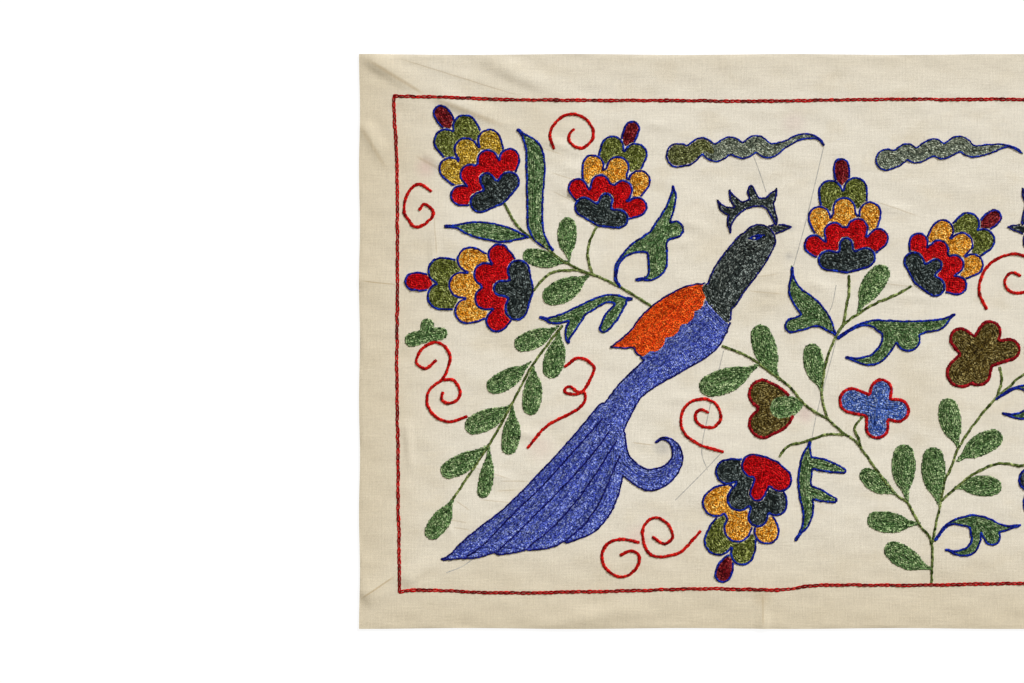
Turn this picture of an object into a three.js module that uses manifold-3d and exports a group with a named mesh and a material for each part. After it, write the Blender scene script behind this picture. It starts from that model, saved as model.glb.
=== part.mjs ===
// A cotton panel with chain-stitched birds, blossoms and leaf sprays, lying face up.
// Millimetres, +Z up. The origin is the centre of the underside, with X along the long side
// and Y towards the top edge. The panel is one solid: the cloth with its margin folds,
// and the embroidery as a low relief on its face.
import * as THREE from "three";
import { mergeVertices } from "three/addons/utils/BufferGeometryUtils.js";
import Module from "manifold-3d";

// Driving dimensions of the cloth
const CLOTH_WIDTH = 940;
const CLOTH_HEIGHT = 500;
const CLOTH_THICKNESS = 1.5;
const EDGE_WANDER = 0.8;
const EDGE_WAVES = 5;

// Driving dimensions of the embroidery
const STITCH_RELIEF = 0.9;
const STITCH_ROOT = 0.7;
const STEM_HALF_WIDTH = 1.4;
const FRAME_HALF_WIDTH = 1.7;
const FRAME_RIGHT = CLOTH_WIDTH / 2 - 33;
const FRAME_TOP = CLOTH_HEIGHT / 2 - 39;
const FRAME_BOTTOM = 35 - CLOTH_HEIGHT / 2;

// How far the folds reach past the frame line, towards the middle
const FOLD_REACH_SIDE = 24;
const FOLD_REACH_TOP = 10;
const FOLD_REACH_BOTTOM = 16;

// Spacing of the points
const MARGIN_STEP = 6.5;
const FACE_STEP_X = 30;
const FACE_STEP_Y = 60;
const FRAME_STEP = 20;
const FEW_ROWS = 4;
const FEW_ROWS_STEPS = 2;
const CAP_POINTS = 4;
const SAME_POINT = 0.05;
const WELD_WITHIN = 1e-4;
const OUTLINE_WITHIN = 0.2;
const FLATTEN_WITHIN = 0.004;

// Folds of the cloth: a soft ridge between two points, steep on its right hand and gentle on its left,
// highest at a share of its length.
const FOLDS = [
  { from: [-470, 250], to: [-409, 213], steep: 9, gentle: 17, height: 2, highestAt: 0.2 },
  { from: [-372, 249], to: [-288, 211], steep: 9, gentle: 17, height: 1.3, highestAt: 0.4 },
  { from: [-470, 196], to: [-440, 140], steep: 8, gentle: 12, height: 1.3, highestAt: 0.2 },
  { from: [-470, -225], to: [-436, -204], steep: 14, gentle: 14, height: 1.6, highestAt: 0.2 },
  { from: [-330, -249], to: [-173, -226], steep: 12, gentle: 14, height: 1.4, highestAt: 0.4 },
  { from: [-470, 53], to: [-436, 53], steep: 6, gentle: 8, height: 1, highestAt: 0 },
  { from: [-119, -222], to: [-119, -250], steep: 6, gentle: 9, height: 1.2, highestAt: 1 },
  { from: [470, 248], to: [416, 214], steep: 14, gentle: 9, height: 2.2, highestAt: 0.1 },
  { from: [424, -204], to: [470, -240], steep: 9, gentle: 14, height: 2.2, highestAt: 0.9 },
  { from: [160, 248], to: [330, 228], steep: 10, gentle: 14, height: 1.2, highestAt: 0.5 },
];

// Petals of a blossom that is one long, as rows of x, y and half width from root to end.
const STANDING_PETALS = [
  [[0.66, 0, 0.04], [0.78, 0, 0.058], [0.865, 0, 0.078], [0.925, 0, 0.075]],
  [[0.5, 0.07, 0.09], [0.6, 0.095, 0.105], [0.705, 0.1, 0.112]],
  [[0.5, -0.07, 0.09], [0.6, -0.095, 0.105], [0.715, -0.1, 0.112]],
  [[0.55, 0, 0.15], [0.57, 0, 0.15]],
  [[0.34, 0.16, 0.075], [0.42, 0.188, 0.095], [0.492, 0.2, 0.105]],
  [[0.38, 0, 0.09], [0.48, 0, 0.106], [0.55, 0, 0.108]],
  [[0.34, -0.165, 0.075], [0.43, -0.193, 0.096], [0.502, -0.205, 0.106]],
  [[0.35, 0, 0.18], [0.4, 0, 0.155]],
  [[0.15, 0.13, 0.07], [0.2, 0.19, 0.085], [0.255, 0.255, 0.095]],
  [[0.18, 0.05, 0.09], [0.3, 0.08, 0.095], [0.355, 0.09, 0.095]],
  [[0.18, -0.05, 0.09], [0.3, -0.085, 0.095], [0.375, -0.1, 0.097]],
  [[0.15, -0.13, 0.07], [0.21, -0.19, 0.085], [0.28, -0.26, 0.095]],
  [[0.2, 0, 0.19], [0.21, 0, 0.195]],
  [[0.09, 0.05, 0.09], [0.115, 0.15, 0.096]],
  [[0.1, 0, 0.112], [0.18, 0, 0.075], [0.245, 0, 0.067]],
  [[0.09, -0.05, 0.09], [0.12, -0.148, 0.094]],
];
const HANGING_PETALS = [
  [[0.8, -0.03, 0.015], [0.86, -0.03, 0.05], [0.91, -0.028, 0.066], [0.955, -0.026, 0.063]],
  [[0.6, 0, 0.08], [0.7, 0.035, 0.09], [0.76, 0.042, 0.09]],
  [[0.6, -0.14, 0.08], [0.66, -0.155, 0.1], [0.745, -0.15, 0.11]],
  [[0.6, -0.06, 0.13], [0.63, -0.06, 0.13]],
  [[0.46, 0.06, 0.06], [0.5, 0.11, 0.085], [0.545, 0.14, 0.097]],
  [[0.45, -0.06, 0.08], [0.55, -0.06, 0.1], [0.61, -0.06, 0.104]],
  [[0.37, -0.22, 0.04], [0.44, -0.26, 0.085], [0.5, -0.275, 0.105]],
  [[0.4, -0.06, 0.17], [0.45, -0.07, 0.16]],
  [[0.26, 0.08, 0.06], [0.3, 0.11, 0.08], [0.34, 0.125, 0.088]],
  [[0.3, 0, 0.07], [0.4, 0.03, 0.075], [0.475, 0.04, 0.077]],
  [[0.28, -0.08, 0.07], [0.36, -0.13, 0.085], [0.41, -0.135, 0.092]],
  [[0.17, -0.15, 0.06], [0.22, -0.23, 0.085], [0.26, -0.285, 0.097]],
  [[0.24, -0.04, 0.17], [0.28, -0.05, 0.16]],
  [[0.13, 0, 0.085], [0.165, 0.08, 0.092]],
  [[0.13, -0.03, 0.085], [0.24, -0.03, 0.066], [0.32, -0.03, 0.063]],
  [[0.13, -0.06, 0.085], [0.15, -0.135, 0.092]],
];

// Blossoms of one half, drawn again mirrored on the other, and those near the middle.
// The spread widens a blossom, and a negative one turns it over.
const SIDE_BLOSSOMS = [
  { petals: STANDING_PETALS, base: [-345, 120], tip: [-403, 205], spread: 1 },
  { petals: STANDING_PETALS, base: [-263, 101], tip: [-230, 192], spread: 1.09 },
  { petals: STANDING_PETALS, base: [-319, 44], tip: [-431, 53], spread: 0.98 },
];
const MIDDLE_BLOSSOMS = [
  { petals: STANDING_PETALS, base: [-45, 60], tip: [-51, 160], spread: 1.09 },
  { petals: STANDING_PETALS, base: [13, 51], tip: [88, 113], spread: 1 },
  { petals: HANGING_PETALS, base: [-105, -98], tip: [-153, -209], spread: 1 },
  { petals: HANGING_PETALS, base: [115, -98], tip: [163, -209], spread: -1 },
];

// Round-ended leaves from stalk to end, with the half width as a share of the length.
const ROUND_LEAF = [[0, 0, 0.1], [0.2, 0.02, 0.35], [0.42, 0.03, 0.85], [0.63, 0.02, 1], [0.81, 0, 0.85]];
const SIDE_LEAVES = [
  { base: [-287, 70], tip: [-289, 108], half: 0.22 },
  { base: [-287, 69], tip: [-329, 76], half: 0.18 },
  { base: [-270, 58], tip: [-309, 36], half: 0.23 },
  { base: [-297, 13], tip: [-335, -5], half: 0.2 },
  { base: [-296, 9], tip: [-304, -32], half: 0.22 },
  { base: [-321, -18], tip: [-359, -43], half: 0.19 },
  { base: [-319, -20], tip: [-321, -65], half: 0.19 },
  { base: [-337, -55], tip: [-378, -77], half: 0.2 },
  { base: [-337, -56], tip: [-340, -100], half: 0.18 },
  { base: [-357, -90], tip: [-400, -117], half: 0.17 },
  { base: [-357, -91], tip: [-363, -140], half: 0.13 },
  { base: [-388, -136], tip: [-410, -172], half: 0.2 },
];
const MIDDLE_LEAVES = [
  { base: [-105, -33], tip: [-124, 15], half: 0.2 },
  { base: [-122, -20], tip: [-175, -43], half: 0.19 },
  { base: [-36, 25], tip: [-12, 67], half: 0.2 },
  { base: [-67, -44], tip: [-78, -1], half: 0.2 },
  { base: [7, -138], tip: [3, -89], half: 0.21 },
  { base: [-2, -133], tip: [-34, -113], half: 0.22 },
  { base: [17, -158], tip: [-29, -155], half: 0.2 },
  { base: [28, -198], tip: [-13, -178], half: 0.21 },
  { base: [35, -143], tip: [28, -91], half: 0.2 },
  { base: [52, -93], tip: [40, -49], half: 0.21 },
  { base: [50, -104], tip: [89, -80], half: 0.21 },
  { base: [48, -127], tip: [89, -126], half: 0.22 },
  { base: [112, -29], tip: [128, 19], half: 0.2 },
  { base: [126, -17], tip: [175, -38], half: 0.2 },
];

// Stems, each a narrow line through its points.
const SIDE_STEMS = [
  [
    [-216, 31], [-243, 47.5], [-260, 55.5], [-279, 63], [-297, 73], [-311, 85.5], [-323, 92.5],
    [-334, 103], [-344, 120.5],
  ],
  [[-267, 58], [-271, 74], [-269, 88.5], [-263, 100]],
  [[-267, 58], [-279, 61.5], [-289, 62], [-302, 60], [-312, 52], [-318, 44]],
  [[-293, 14], [-318, -19], [-337, -54], [-357, -90], [-389, -138]],
];
const MIDDLE_STEMS = [
  [
    [28, -210], [28, -175], [18, -160], [6, -139], [-2, -134], [-19, -113], [-37, -88], [-48, -80],
    [-62, -68], [-81, -56], [-97, -38], [-112, -27], [-124, -18], [-138, -10], [-154, -4],
  ],
  [[-62, -68], [-67, -51], [-67, -35], [-63, -15], [-55, 5], [-49, 15], [-46, 31], [-44, 43], [-44, 58]],
  [[-55, 5], [-49, 14], [-36, 24], [-21, 33], [-2, 41], [10, 48]],
  [[-48, -81], [-64, -81], [-82, -87], [-97, -91], [-104, -100]],
  [[-33, -93], [-36, -84], [-39, -75], [-32, -65]],
  [
    [29, -175], [31, -162], [35, -144], [40, -120], [46, -107], [51, -93], [64, -73], [83, -50],
    [97, -38], [108, -29], [154, -5],
  ],
  [[36, -139], [48, -128], [62, -117], [77, -109], [89, -106], [107, -108], [116, -104]],
  [[85, -48], [89, -34], [87, -23]],
];

// Tapering bands, a row of x, y and half width for each point along the middle line.
const SIDE_BANDS = [
  // sword leaf and willow leaf
  [
    [-332, 184.5, 0], [-324, 176, 4], [-318.5, 168, 7.6], [-316.5, 156, 9.2], [-316.5, 140, 8.7],
    [-317, 123, 7.8], [-316.5, 100, 7.4], [-311, 88, 5.2], [-301, 79, 1],
  ],
  [
    [-395, 100, 0], [-385, 100, 2.3], [-372.5, 98, 6.7], [-359, 96, 8.5], [-345.5, 93.5, 8.1],
    [-332.5, 92, 4.5], [-323, 90.5, 0.9],
  ],
  // hooked leaf
  [
    [-197, 134.5, 0], [-196.5, 127.5, 3.3], [-200, 115, 4.8], [-205, 104, 6.6], [-211.5, 88.5, 10],
    [-229, 82, 5.6], [-238, 76, 3.1], [-244.5, 68.5, 2.3], [-246.5, 61, 2.1], [-246.5, 53.5, 1.4],
    [-243, 47.5, 0.8],
  ],
  [[-211.5, 88, 9.5], [-210.5, 74.5, 9.5], [-211, 64, 8.2], [-217, 56, 3.9], [-229, 53.5, 0]],
  [[-201, 95.5, 7.8], [-195, 97.5, 8.1]],
  // forked leaf
  [
    [-232.5, 37, 0.5], [-245, 36.5, 4.5], [-256, 37, 4.4], [-273.5, 28.5, 5.7], [-288, 22, 5.2],
    [-302, 18.5, 3.7], [-312.5, 21, 0],
  ],
  [[-241, 33.5, 4.4], [-250, 22, 6.5], [-257, 11.5, 4.9]],
  [[-278, 23, 5.2], [-285.5, 12, 5.5], [-288.5, 3, 2.6], [-288, -1.5, 0]],
  // small leaf of three lobes
  [[-412.5, 5, 6], [-424, 1.5, 6.1]],
  [[-411, 8.5, 6], [-410.5, 14.5, 5.6]],
  [[-410, 5.5, 6], [-398.5, 7, 5.3]],
];
// The long-tailed bird of the left half.
const BIRD = [
  // tail feathers and curled feather
  [
    [-249, -82, 8], [-247, -98.5, 8.7], [-249, -114.5, 9.6], [-254, -131.5, 10.4],
    [-261, -145.5, 10.9], [-269.5, -156, 10.9], [-277, -162, 9.1], [-289, -172, 4],
  ],
  [
    [-253, -91.5, 8.7], [-259, -110, 9.1], [-271, -132.5, 9.6], [-287, -154.5, 10], [-298, -167, 9.6],
    [-308, -174.5, 6.5], [-322, -180.5, 2],
  ],
  [
    [-253, -80.5, 7.8], [-268, -103.5, 8.7], [-284, -125.5, 9.1], [-301, -148, 9.1], [-314, -163, 9.1],
    [-327, -174.5, 8], [-349, -183.5, 3],
  ],
  [
    [-261, -75.5, 8.5], [-280, -104, 9], [-304, -134, 10], [-325, -153, 10.5], [-344, -170, 9.5],
    [-366, -182, 6.5], [-381, -187.5, 2],
  ],
  [
    [-257, -59.5, 7], [-280, -87, 6.8], [-308, -119, 7.8], [-338, -151, 9.1], [-362, -169, 8.6],
    [-378, -180.5, 7], [-389, -187, 3.4], [-398, -189.5, 1],
  ],
  [
    [-246, -82, 8.5], [-244.5, -94, 8.3], [-240.5, -105.5, 9], [-227.5, -116.5, 8.9],
    [-216, -120.5, 10.2], [-201.5, -114.5, 8], [-193.5, -103, 5.9], [-194.5, -92.5, 4.3],
    [-200, -86, 2.8], [-206.5, -84.5, 1.7], [-212, -87.5, 1],
  ],
  // body
  [
    [-157, 22, 12.2], [-172.5, 5.5, 18.7], [-193.5, -11, 16], [-221.5, -31.5, 12.4],
    [-235.5, -44.5, 12], [-245.5, -60, 13.5], [-255, -76, 15],
  ],
  [[-166, 40, 7], [-179, 23, 12], [-199, 6, 12], [-219, -10, 8]],
  // wing with its scallops
  [
    [-169, 46.5, 5], [-182, 38.5, 11], [-198, 26.5, 14.5], [-212.5, 14.5, 14.8], [-225, 5, 10.5],
    [-238.5, -1, 5.6], [-245, -3, 3.4], [-251.5, -5, 0.8],
  ],
  [[-222.5, -4, 7], [-224.5, -6, 7]],
  [[-211.5, 0.5, 7.4], [-213.5, -1.5, 7.4]],
  [[-198.5, 13, 7.4], [-200.5, 11, 7.4]],
  [[-185.5, 24, 7], [-187.5, 22, 7]],
  [[-176, 34.5, 6], [-178, 32.5, 6]],
  // neck and beak
  [[-122, 87.5, 15], [-133, 74, 17.8], [-148, 53.5, 17.4], [-153.5, 40.5, 15]],
  [[-165.5, 45.5, 6], [-159.5, 36, 7], [-153, 28.5, 7], [-149.5, 20.5, 3.9]],
  [[-113, 96.5, 5], [-106, 98, 4.5], [-99.5, 99, 3], [-94.5, 99.5, 0.8]],
  // crest
  [
    [-147, 94.5, 0.5], [-147.5, 104, 3], [-143, 112, 4.3], [-134.5, 118.5, 4.3], [-123, 121, 4.3],
    [-114.5, 119.5, 4.8], [-110.5, 112, 3.4], [-108, 105.5, 2.5], [-107, 101.5, 1.3],
  ],
  [[-145.5, 112.5, 4.6], [-152, 114.5, 3.7], [-155.5, 118, 2.5], [-158.5, 122.5, 0]],
  [[-138, 117.5, 4.6], [-143, 122, 4], [-146, 126.5, 2.6], [-148, 131.5, 0]],
  [[-125, 121.5, 4.8], [-128.5, 129, 4.2], [-129, 134, 2.9]],
  [[-114, 119.5, 4.8], [-111, 125.5, 4.3], [-108.5, 129, 2.7], [-107, 132.5, 0]],
];
// Leaves, single blossoms and clouds that are worked once.
const MIDDLE_BANDS = [
  // pointed leaf
  [
    [-77.5, -87, 0], [-80.5, -98.5, 4.6], [-81.5, -110, 6.6], [-82.5, -122, 6.8], [-81, -136, 6.6],
    [-79.5, -148, 5.4], [-82, -159.5, 3.6], [-90.5, -173, 0],
  ],
  [[-79, -105, 5.6], [-66.5, -107.5, 6.2], [-55, -110.5, 4.6], [-48.5, -112.5, 3]],
  [[-81, -129, 5.2], [-71, -133, 6.2], [-63, -136, 4.5], [-56.5, -138, 3.1]],
  // winged leaf
  [
    [-93.5, 64.5, 0], [-93, 53.5, 3], [-90, 42, 7], [-78.5, 29.5, 10], [-66.5, 18.5, 7.5],
    [-55, 5.5, 0.9],
  ],
  [[-73, 20.5, 8], [-86.5, 16, 7.4], [-93.5, 14, 7.2]],
  // arched leaf
  [
    [31, -173, 0.9], [38.5, -162.5, 1.8], [46.5, -157.5, 2.7], [63, -156.5, 6.5], [75, -159.5, 7.2],
    [89, -162.5, 4.2], [105, -160, 0],
  ],
  [[75, -161, 7], [80.5, -170, 8.2]],
  [[66, -161, 6], [66.5, -172.5, 5], [61.5, -181.5, 4.8], [51, -184, 3.1], [40.5, -181, 0]],
  // heart blossom
  [[-119, -45.5, 13.5], [-105.5, -50, 10.4], [-90, -54.5, 1.7]],
  [[-118.5, -71.5, 13.7], [-104, -65.5, 11.3], [-90, -56, 1.7]],
  [[-115, -58.5, 10], [-102, -57, 10]],
  // blossom of four lobes
  [[-19.5, -58, 7.5], [-41.5, -51.5, 12]],
  [[-19.5, -58, 7.5], [-16, -42.5, 10.4]],
  [[-19.5, -58, 7.5], [-1.5, -60, 10.6]],
  [[-19.5, -58, 7.5], [-19.5, -74.5, 10.8]],
  // blossom of five lobes
  [[69, -12.5, 11], [53.5, 2, 9.4]],
  [[69, -12.5, 11], [79, 8, 10.7]],
  [[69, -12.5, 11], [96, -6.5, 9.2]],
  [[69, -14, 12], [54.5, -27.5, 13.5]],
  [[69, -14, 12], [68.5, -28, 10.4]],
  // scrolling clouds
  [
    [-192.5, 162, 11.2], [-183, 162.5, 9], [-171.5, 170.5, 7.5], [-160.5, 163.5, 8],
    [-147.5, 170.5, 8.3], [-136, 165.5, 7.3], [-125, 172, 8.1], [-113.5, 166, 7.2],
    [-99.5, 171.5, 3.7], [-87.5, 177.5, 3.4], [-77, 178.5, 2.6], [-69, 175.5, 1.3], [-65.5, 170.5, 0],
  ],
  [
    [-11.5, 158, 10], [-2, 159.5, 7.8], [6.5, 165.5, 7.4], [15, 161.5, 7.3], [29, 169, 8.1],
    [38, 165, 7.1], [52.5, 172, 7.6], [63, 165.5, 6.1], [78.5, 167.5, 4.6], [91, 170, 2.2],
    [99.5, 168.5, 1], [106.5, 164, 0],
  ],
];

// A curled leaf in a frame of its own, with the stalk at zero and X towards the end.
const CURLED_LEAF = [
  [
    [0, 0, 0.8], [12, 5, 1.8], [23.5, 7.5, 2.2], [32.5, 6, 4], [45, -1, 8], [58.5, -5, 8.8],
    [73, -5, 6], [87, -5.5, 5], [100, 0, 0],
  ],
  [[58.5, -5, 8.8], [58, -12.5, 10.9]],
  [[45, -3, 8], [40.5, -13, 6.7], [30, -22, 5.9], [18.5, -23, 4.2], [4, -17, 0]],
];
const CURLED_LEAF_LENGTH = 100;
const CURLED_LEAVES = [
  { base: [-54, 2.5], tip: [47.5, 23.5] },
  { base: [84, -50], tip: [162, -34] },
];

// The frame line, one row of points for each side, taken round one way.
const FRAME_SIDES = [
  [
    [-440, 213.5], [-439, 190], [-437, 149], [-436.5, 60], [-437, -20], [-436, -120], [-435, -190],
    [-435, -218],
  ],
  [
    [-435, -218], [-417, -216], [-347, -218.5], [-260, -217.5], [-173, -215], [-104, -216],
    [-69, -212], [18, -212], [105, -210.5], [280, -213], [438, -215],
  ],
  [[438, -215], [436.5, -100], [437.5, 40], [437, 211]],
  [
    [437, 211], [280, 209.5], [105, 210.5], [-20, 210.5], [-117, 209], [-200, 209.5], [-317, 210],
    [-400, 212.5], [-440, 213.5],
  ],
];

const wasm = await Module();
wasm.setup();

// Smooth step from one at zero to zero at one.
function fade(share) {
  const s = THREE.MathUtils.clamp(share, 0, 1);
  return 1 - s * s * (3 - 2 * s);
}

// Height of the underside above the surface, from every fold that reaches the point.
function liftAt(x, y) {
  let lift = 0;
  for (const fold of FOLDS) {
    const run = new THREE.Vector2(fold.to[0] - fold.from[0], fold.to[1] - fold.from[1]);
    const offset = new THREE.Vector2(x - fold.from[0], y - fold.from[1]);
    const along = offset.dot(run) / run.lengthSq();
    const right = offset.cross(run) / run.length();
    const across = right > 0 ? right / fold.steep : -right / fold.gentle;
    const before = fold.highestAt > 0 ? (fold.highestAt - along) / fold.highestAt : -along * 4;
    const after = fold.highestAt < 1 ? (along - fold.highestAt) / (1 - fold.highestAt) : (along - 1) * 4;
    lift += fold.height * fade(across) * fade(Math.max(before, after));
  }
  return lift;
}

// Evenly spaced values from one end to the other, about one step apart.
function spread(start, end, step) {
  const count = Math.max(1, Math.round((end - start) / step));
  return Array.from({ length: count + 1 }, (_, i) => start + ((end - start) * i) / count);
}

// Lines of the cloth's net: close together in the margins, where the folds are.
function netLines(low, innerLow, innerHigh, high, faceStep) {
  const first = spread(low, innerLow, MARGIN_STEP);
  const face = spread(innerLow, innerHigh, faceStep).slice(1, -1);
  return [...first, ...face, ...spread(innerHigh, high, MARGIN_STEP)];
}

// The cloth as a closed sheet of even thickness, its edges wandering a little between the corners.
function clothGeometry() {
  const innerX = FRAME_RIGHT - FOLD_REACH_SIDE;
  const innerTop = FRAME_TOP - FOLD_REACH_TOP;
  const innerBottom = FRAME_BOTTOM + FOLD_REACH_BOTTOM;
  const xs = netLines(-CLOTH_WIDTH / 2, -innerX, innerX, CLOTH_WIDTH / 2, FACE_STEP_X);
  const ys = netLines(-CLOTH_HEIGHT / 2, innerBottom, innerTop, CLOTH_HEIGHT / 2, FACE_STEP_Y);
  const columns = xs.length;
  const rows = ys.length;
  const layerSize = columns * rows;
  const points = [];
  const triangles = [];
  const wander = (share) => EDGE_WANDER * Math.sin(share * Math.PI * EDGE_WAVES) ** 2;
  for (const layer of [0, CLOTH_THICKNESS]) {
    for (let j = 0; j < rows; j++) {
      for (let i = 0; i < columns; i++) {
        const pullX = i === 0 || i === columns - 1 ? wander(ys[j] / CLOTH_HEIGHT + 0.5) : 0;
        const pullY = j === 0 || j === rows - 1 ? wander(xs[i] / CLOTH_WIDTH + 0.5) : 0;
        const x = xs[i] - Math.sign(xs[i]) * pullX;
        const y = ys[j] - Math.sign(ys[j]) * pullY;
        points.push(x, y, layer + liftAt(x, y));
      }
    }
  }
  const quad = (a, b, c, d) => triangles.push(a, b, c, a, c, d);
  for (let j = 0; j + 1 < rows; j++) {
    for (let i = 0; i + 1 < columns; i++) {
      const a = j * columns + i;
      const b = a + 1;
      const c = b + columns;
      const d = a + columns;
      quad(a, d, c, b);
      quad(a + layerSize, b + layerSize, c + layerSize, d + layerSize);
    }
  }
  for (let i = 0; i + 1 < columns; i++) {
    const top = (rows - 1) * columns + i;
    quad(i, i + 1, i + 1 + layerSize, i + layerSize);
    quad(top + 1, top, top + layerSize, top + 1 + layerSize);
  }
  for (let j = 0; j + 1 < rows; j++) {
    const left = j * columns;
    const right = left + columns - 1;
    quad(left + columns, left, left + layerSize, left + columns + layerSize);
    quad(right, right + columns, right + columns + layerSize, right + layerSize);
  }
  const geometry = new THREE.BufferGeometry();
  geometry.setAttribute("position", new THREE.Float32BufferAttribute(points, 3));
  geometry.setIndex(triangles);
  return geometry;
}

// Outline of a tapering band. An end whose half width isn't zero is round.
function bandOutline(rows) {
  const line = new THREE.CatmullRomCurve3(rows.map((row) => new THREE.Vector3(...row)));
  const count = (rows.length - 1) * (rows.length > FEW_ROWS ? 1 : FEW_ROWS_STEPS);
  const left = [];
  const right = [];
  const ends = [];
  for (let i = 0; i <= count; i++) {
    const at = line.getPoint(i / count);
    const heading = line.getTangent(i / count);
    const half = Math.max(at.z, 0);
    const along = new THREE.Vector2(heading.x, heading.y).normalize();
    const side = new THREE.Vector2(-along.y, along.x);
    const middle = new THREE.Vector2(at.x, at.y);
    left.push(middle.clone().addScaledVector(side, half));
    right.push(middle.clone().addScaledVector(side, -half));
    if (i === 0 || i === count) ends.push({ middle, half, along });
  }
  const cap = ({ middle, half, along }, start) =>
    Array.from({ length: CAP_POINTS }, (_, k) => {
      const turn = start - (Math.PI * (k + 1)) / (CAP_POINTS + 1);
      return along.clone().multiplyScalar(half).rotateAround(new THREE.Vector2(), turn).add(middle);
    });
  const outline = [...left];
  outline.push(...cap(ends[1], Math.PI / 2));
  outline.push(...right.reverse());
  outline.push(...cap(ends[0], -Math.PI / 2));
  return outline.filter((p, i) => p.distanceTo(outline[(i + 1) % outline.length]) > SAME_POINT);
}

// A band's rows moved from a motif's own frame to the cloth: X towards the tip, scaled to its length.
function placed(rows, base, tip, ownLength) {
  const run = new THREE.Vector2(tip[0] - base[0], tip[1] - base[1]);
  const scale = run.length() / ownLength;
  const turn = run.angle();
  return rows.map(([x, y, half]) => {
    const at = new THREE.Vector2(x * scale, y * scale).rotateAround(new THREE.Vector2(), turn);
    return [at.x + base[0], at.y + base[1], half * scale];
  });
}

function blossomBands({ petals, base, tip, spread: wide }) {
  return petals.map((rows) => placed(rows.map(([x, y, half]) => [x, y * wide, half]), base, tip, 1));
}

function leafBands({ base, tip, half: plump }) {
  return [placed(ROUND_LEAF.map(([x, y, half]) => [x, y, half * plump]), base, tip, 1)];
}

function curledLeafBands({ base, tip }) {
  return CURLED_LEAF.map((rows) => placed(rows, base, tip, CURLED_LEAF_LENGTH));
}

function stemBand(points) {
  return points.map(([x, y]) => [x, y, STEM_HALF_WIDTH]);
}

function mirrored(rows) {
  return rows.map(([x, y, half]) => [-x, y, half]);
}

// A closed geometry as a solid that can be joined to others.
function solidOf(geometry) {
  geometry.deleteAttribute("normal");
  geometry.deleteAttribute("uv");
  const merged = mergeVertices(geometry, WELD_WITHIN);
  return new wasm.Manifold(
    new wasm.Mesh({
      numProp: 3,
      vertProperties: merged.getAttribute("position").array,
      triVerts: new Uint32Array(merged.index.array),
    }),
  );
}

// A raised motif: its outline from inside the cloth up to the top of the stitches.
function raised(outline) {
  const geometry = new THREE.ExtrudeGeometry(new THREE.Shape(outline), {
    depth: STITCH_ROOT + STITCH_RELIEF,
    bevelEnabled: false,
  });
  geometry.translate(0, 0, CLOTH_THICKNESS - STITCH_ROOT);
  return solidOf(geometry);
}

// One side of the frame line, a ribbon through its points that rides over the folds it crosses.
function frameSide(rows) {
  const line = new THREE.CatmullRomCurve3(rows.map(([x, y]) => new THREE.Vector3(x, y, 0)));
  const points = [];
  const triangles = [];
  const stations = spread(0, line.getLength(), FRAME_STEP);
  for (let i = 0; i < stations.length; i += 1) {
    const share = i / (stations.length - 1);
    const heading = line.getTangentAt(share);
    const past = i === 0 ? -FRAME_HALF_WIDTH : i === stations.length - 1 ? FRAME_HALF_WIDTH : 0;
    const middle = line.getPointAt(share).addScaledVector(heading, past);
    const side = new THREE.Vector2(-heading.y, heading.x).multiplyScalar(FRAME_HALF_WIDTH);
    const lift = liftAt(middle.x, middle.y);
    for (const z of [CLOTH_THICKNESS - STITCH_ROOT, CLOTH_THICKNESS + STITCH_RELIEF]) {
      points.push(middle.x + side.x, middle.y + side.y, z + lift);
      points.push(middle.x - side.x, middle.y - side.y, z + lift);
    }
  }
  const quad = (a, b, c, d) => triangles.push(a, b, c, a, c, d);
  const ring = [0, 1, 3, 2];
  const last = (stations.length - 1) * 4;
  quad(ring[0], ring[1], ring[2], ring[3]);
  quad(last + ring[3], last + ring[2], last + ring[1], last + ring[0]);
  for (let s = 0; s < last; s += 4) {
    ring.forEach((corner, k) => {
      const next = ring[(k + 1) % ring.length];
      quad(s + next, s + corner, s + 4 + corner, s + 4 + next);
    });
  }
  const geometry = new THREE.BufferGeometry();
  geometry.setAttribute("position", new THREE.Float32BufferAttribute(points, 3));
  geometry.setIndex(triangles);
  return solidOf(geometry);
}

// Every band of the embroidery, the side groups on both halves and the middle group once.
const sideBands = [
  ...SIDE_BLOSSOMS.flatMap(blossomBands),
  ...SIDE_LEAVES.flatMap(leafBands),
  ...SIDE_BANDS,
  ...BIRD,
];
const middleBands = [
  ...MIDDLE_BLOSSOMS.flatMap(blossomBands),
  ...MIDDLE_LEAVES.flatMap(leafBands),
  ...CURLED_LEAVES.flatMap(curledLeafBands),
  ...MIDDLE_BANDS,
];
const sideStems = SIDE_STEMS.map(stemBand);
const stems = [...sideStems, ...sideStems.map(mirrored), ...MIDDLE_STEMS.map(stemBand)];
const fills = [...sideBands, ...sideBands.map(mirrored), ...middleBands];

const embroidery = [
  ...[...fills, ...stems].map((rows) => raised(bandOutline(rows))),
  ...FRAME_SIDES.map(frameSide),
];
const relief = wasm.Manifold.union(embroidery).asOriginal().simplify(OUTLINE_WITHIN);
const panel = solidOf(clothGeometry()).add(relief).asOriginal().simplify(FLATTEN_WITHIN);

const mesh = panel.getMesh();
const panelGeometry = new THREE.BufferGeometry();
panelGeometry.setAttribute("position", new THREE.BufferAttribute(mesh.vertProperties, 3));
panelGeometry.setIndex(new THREE.BufferAttribute(mesh.triVerts, 1));
panelGeometry.computeVertexNormals();

const cottonMaterial = new THREE.MeshStandardMaterial({ color: 0xdcd2b9, roughness: 0.9, metalness: 0 });
const cloth = new THREE.Mesh(panelGeometry, cottonMaterial);
cloth.name = "cloth";

const textile = new THREE.Group();
textile.add(cloth);

export default textile;
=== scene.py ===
import math

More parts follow.
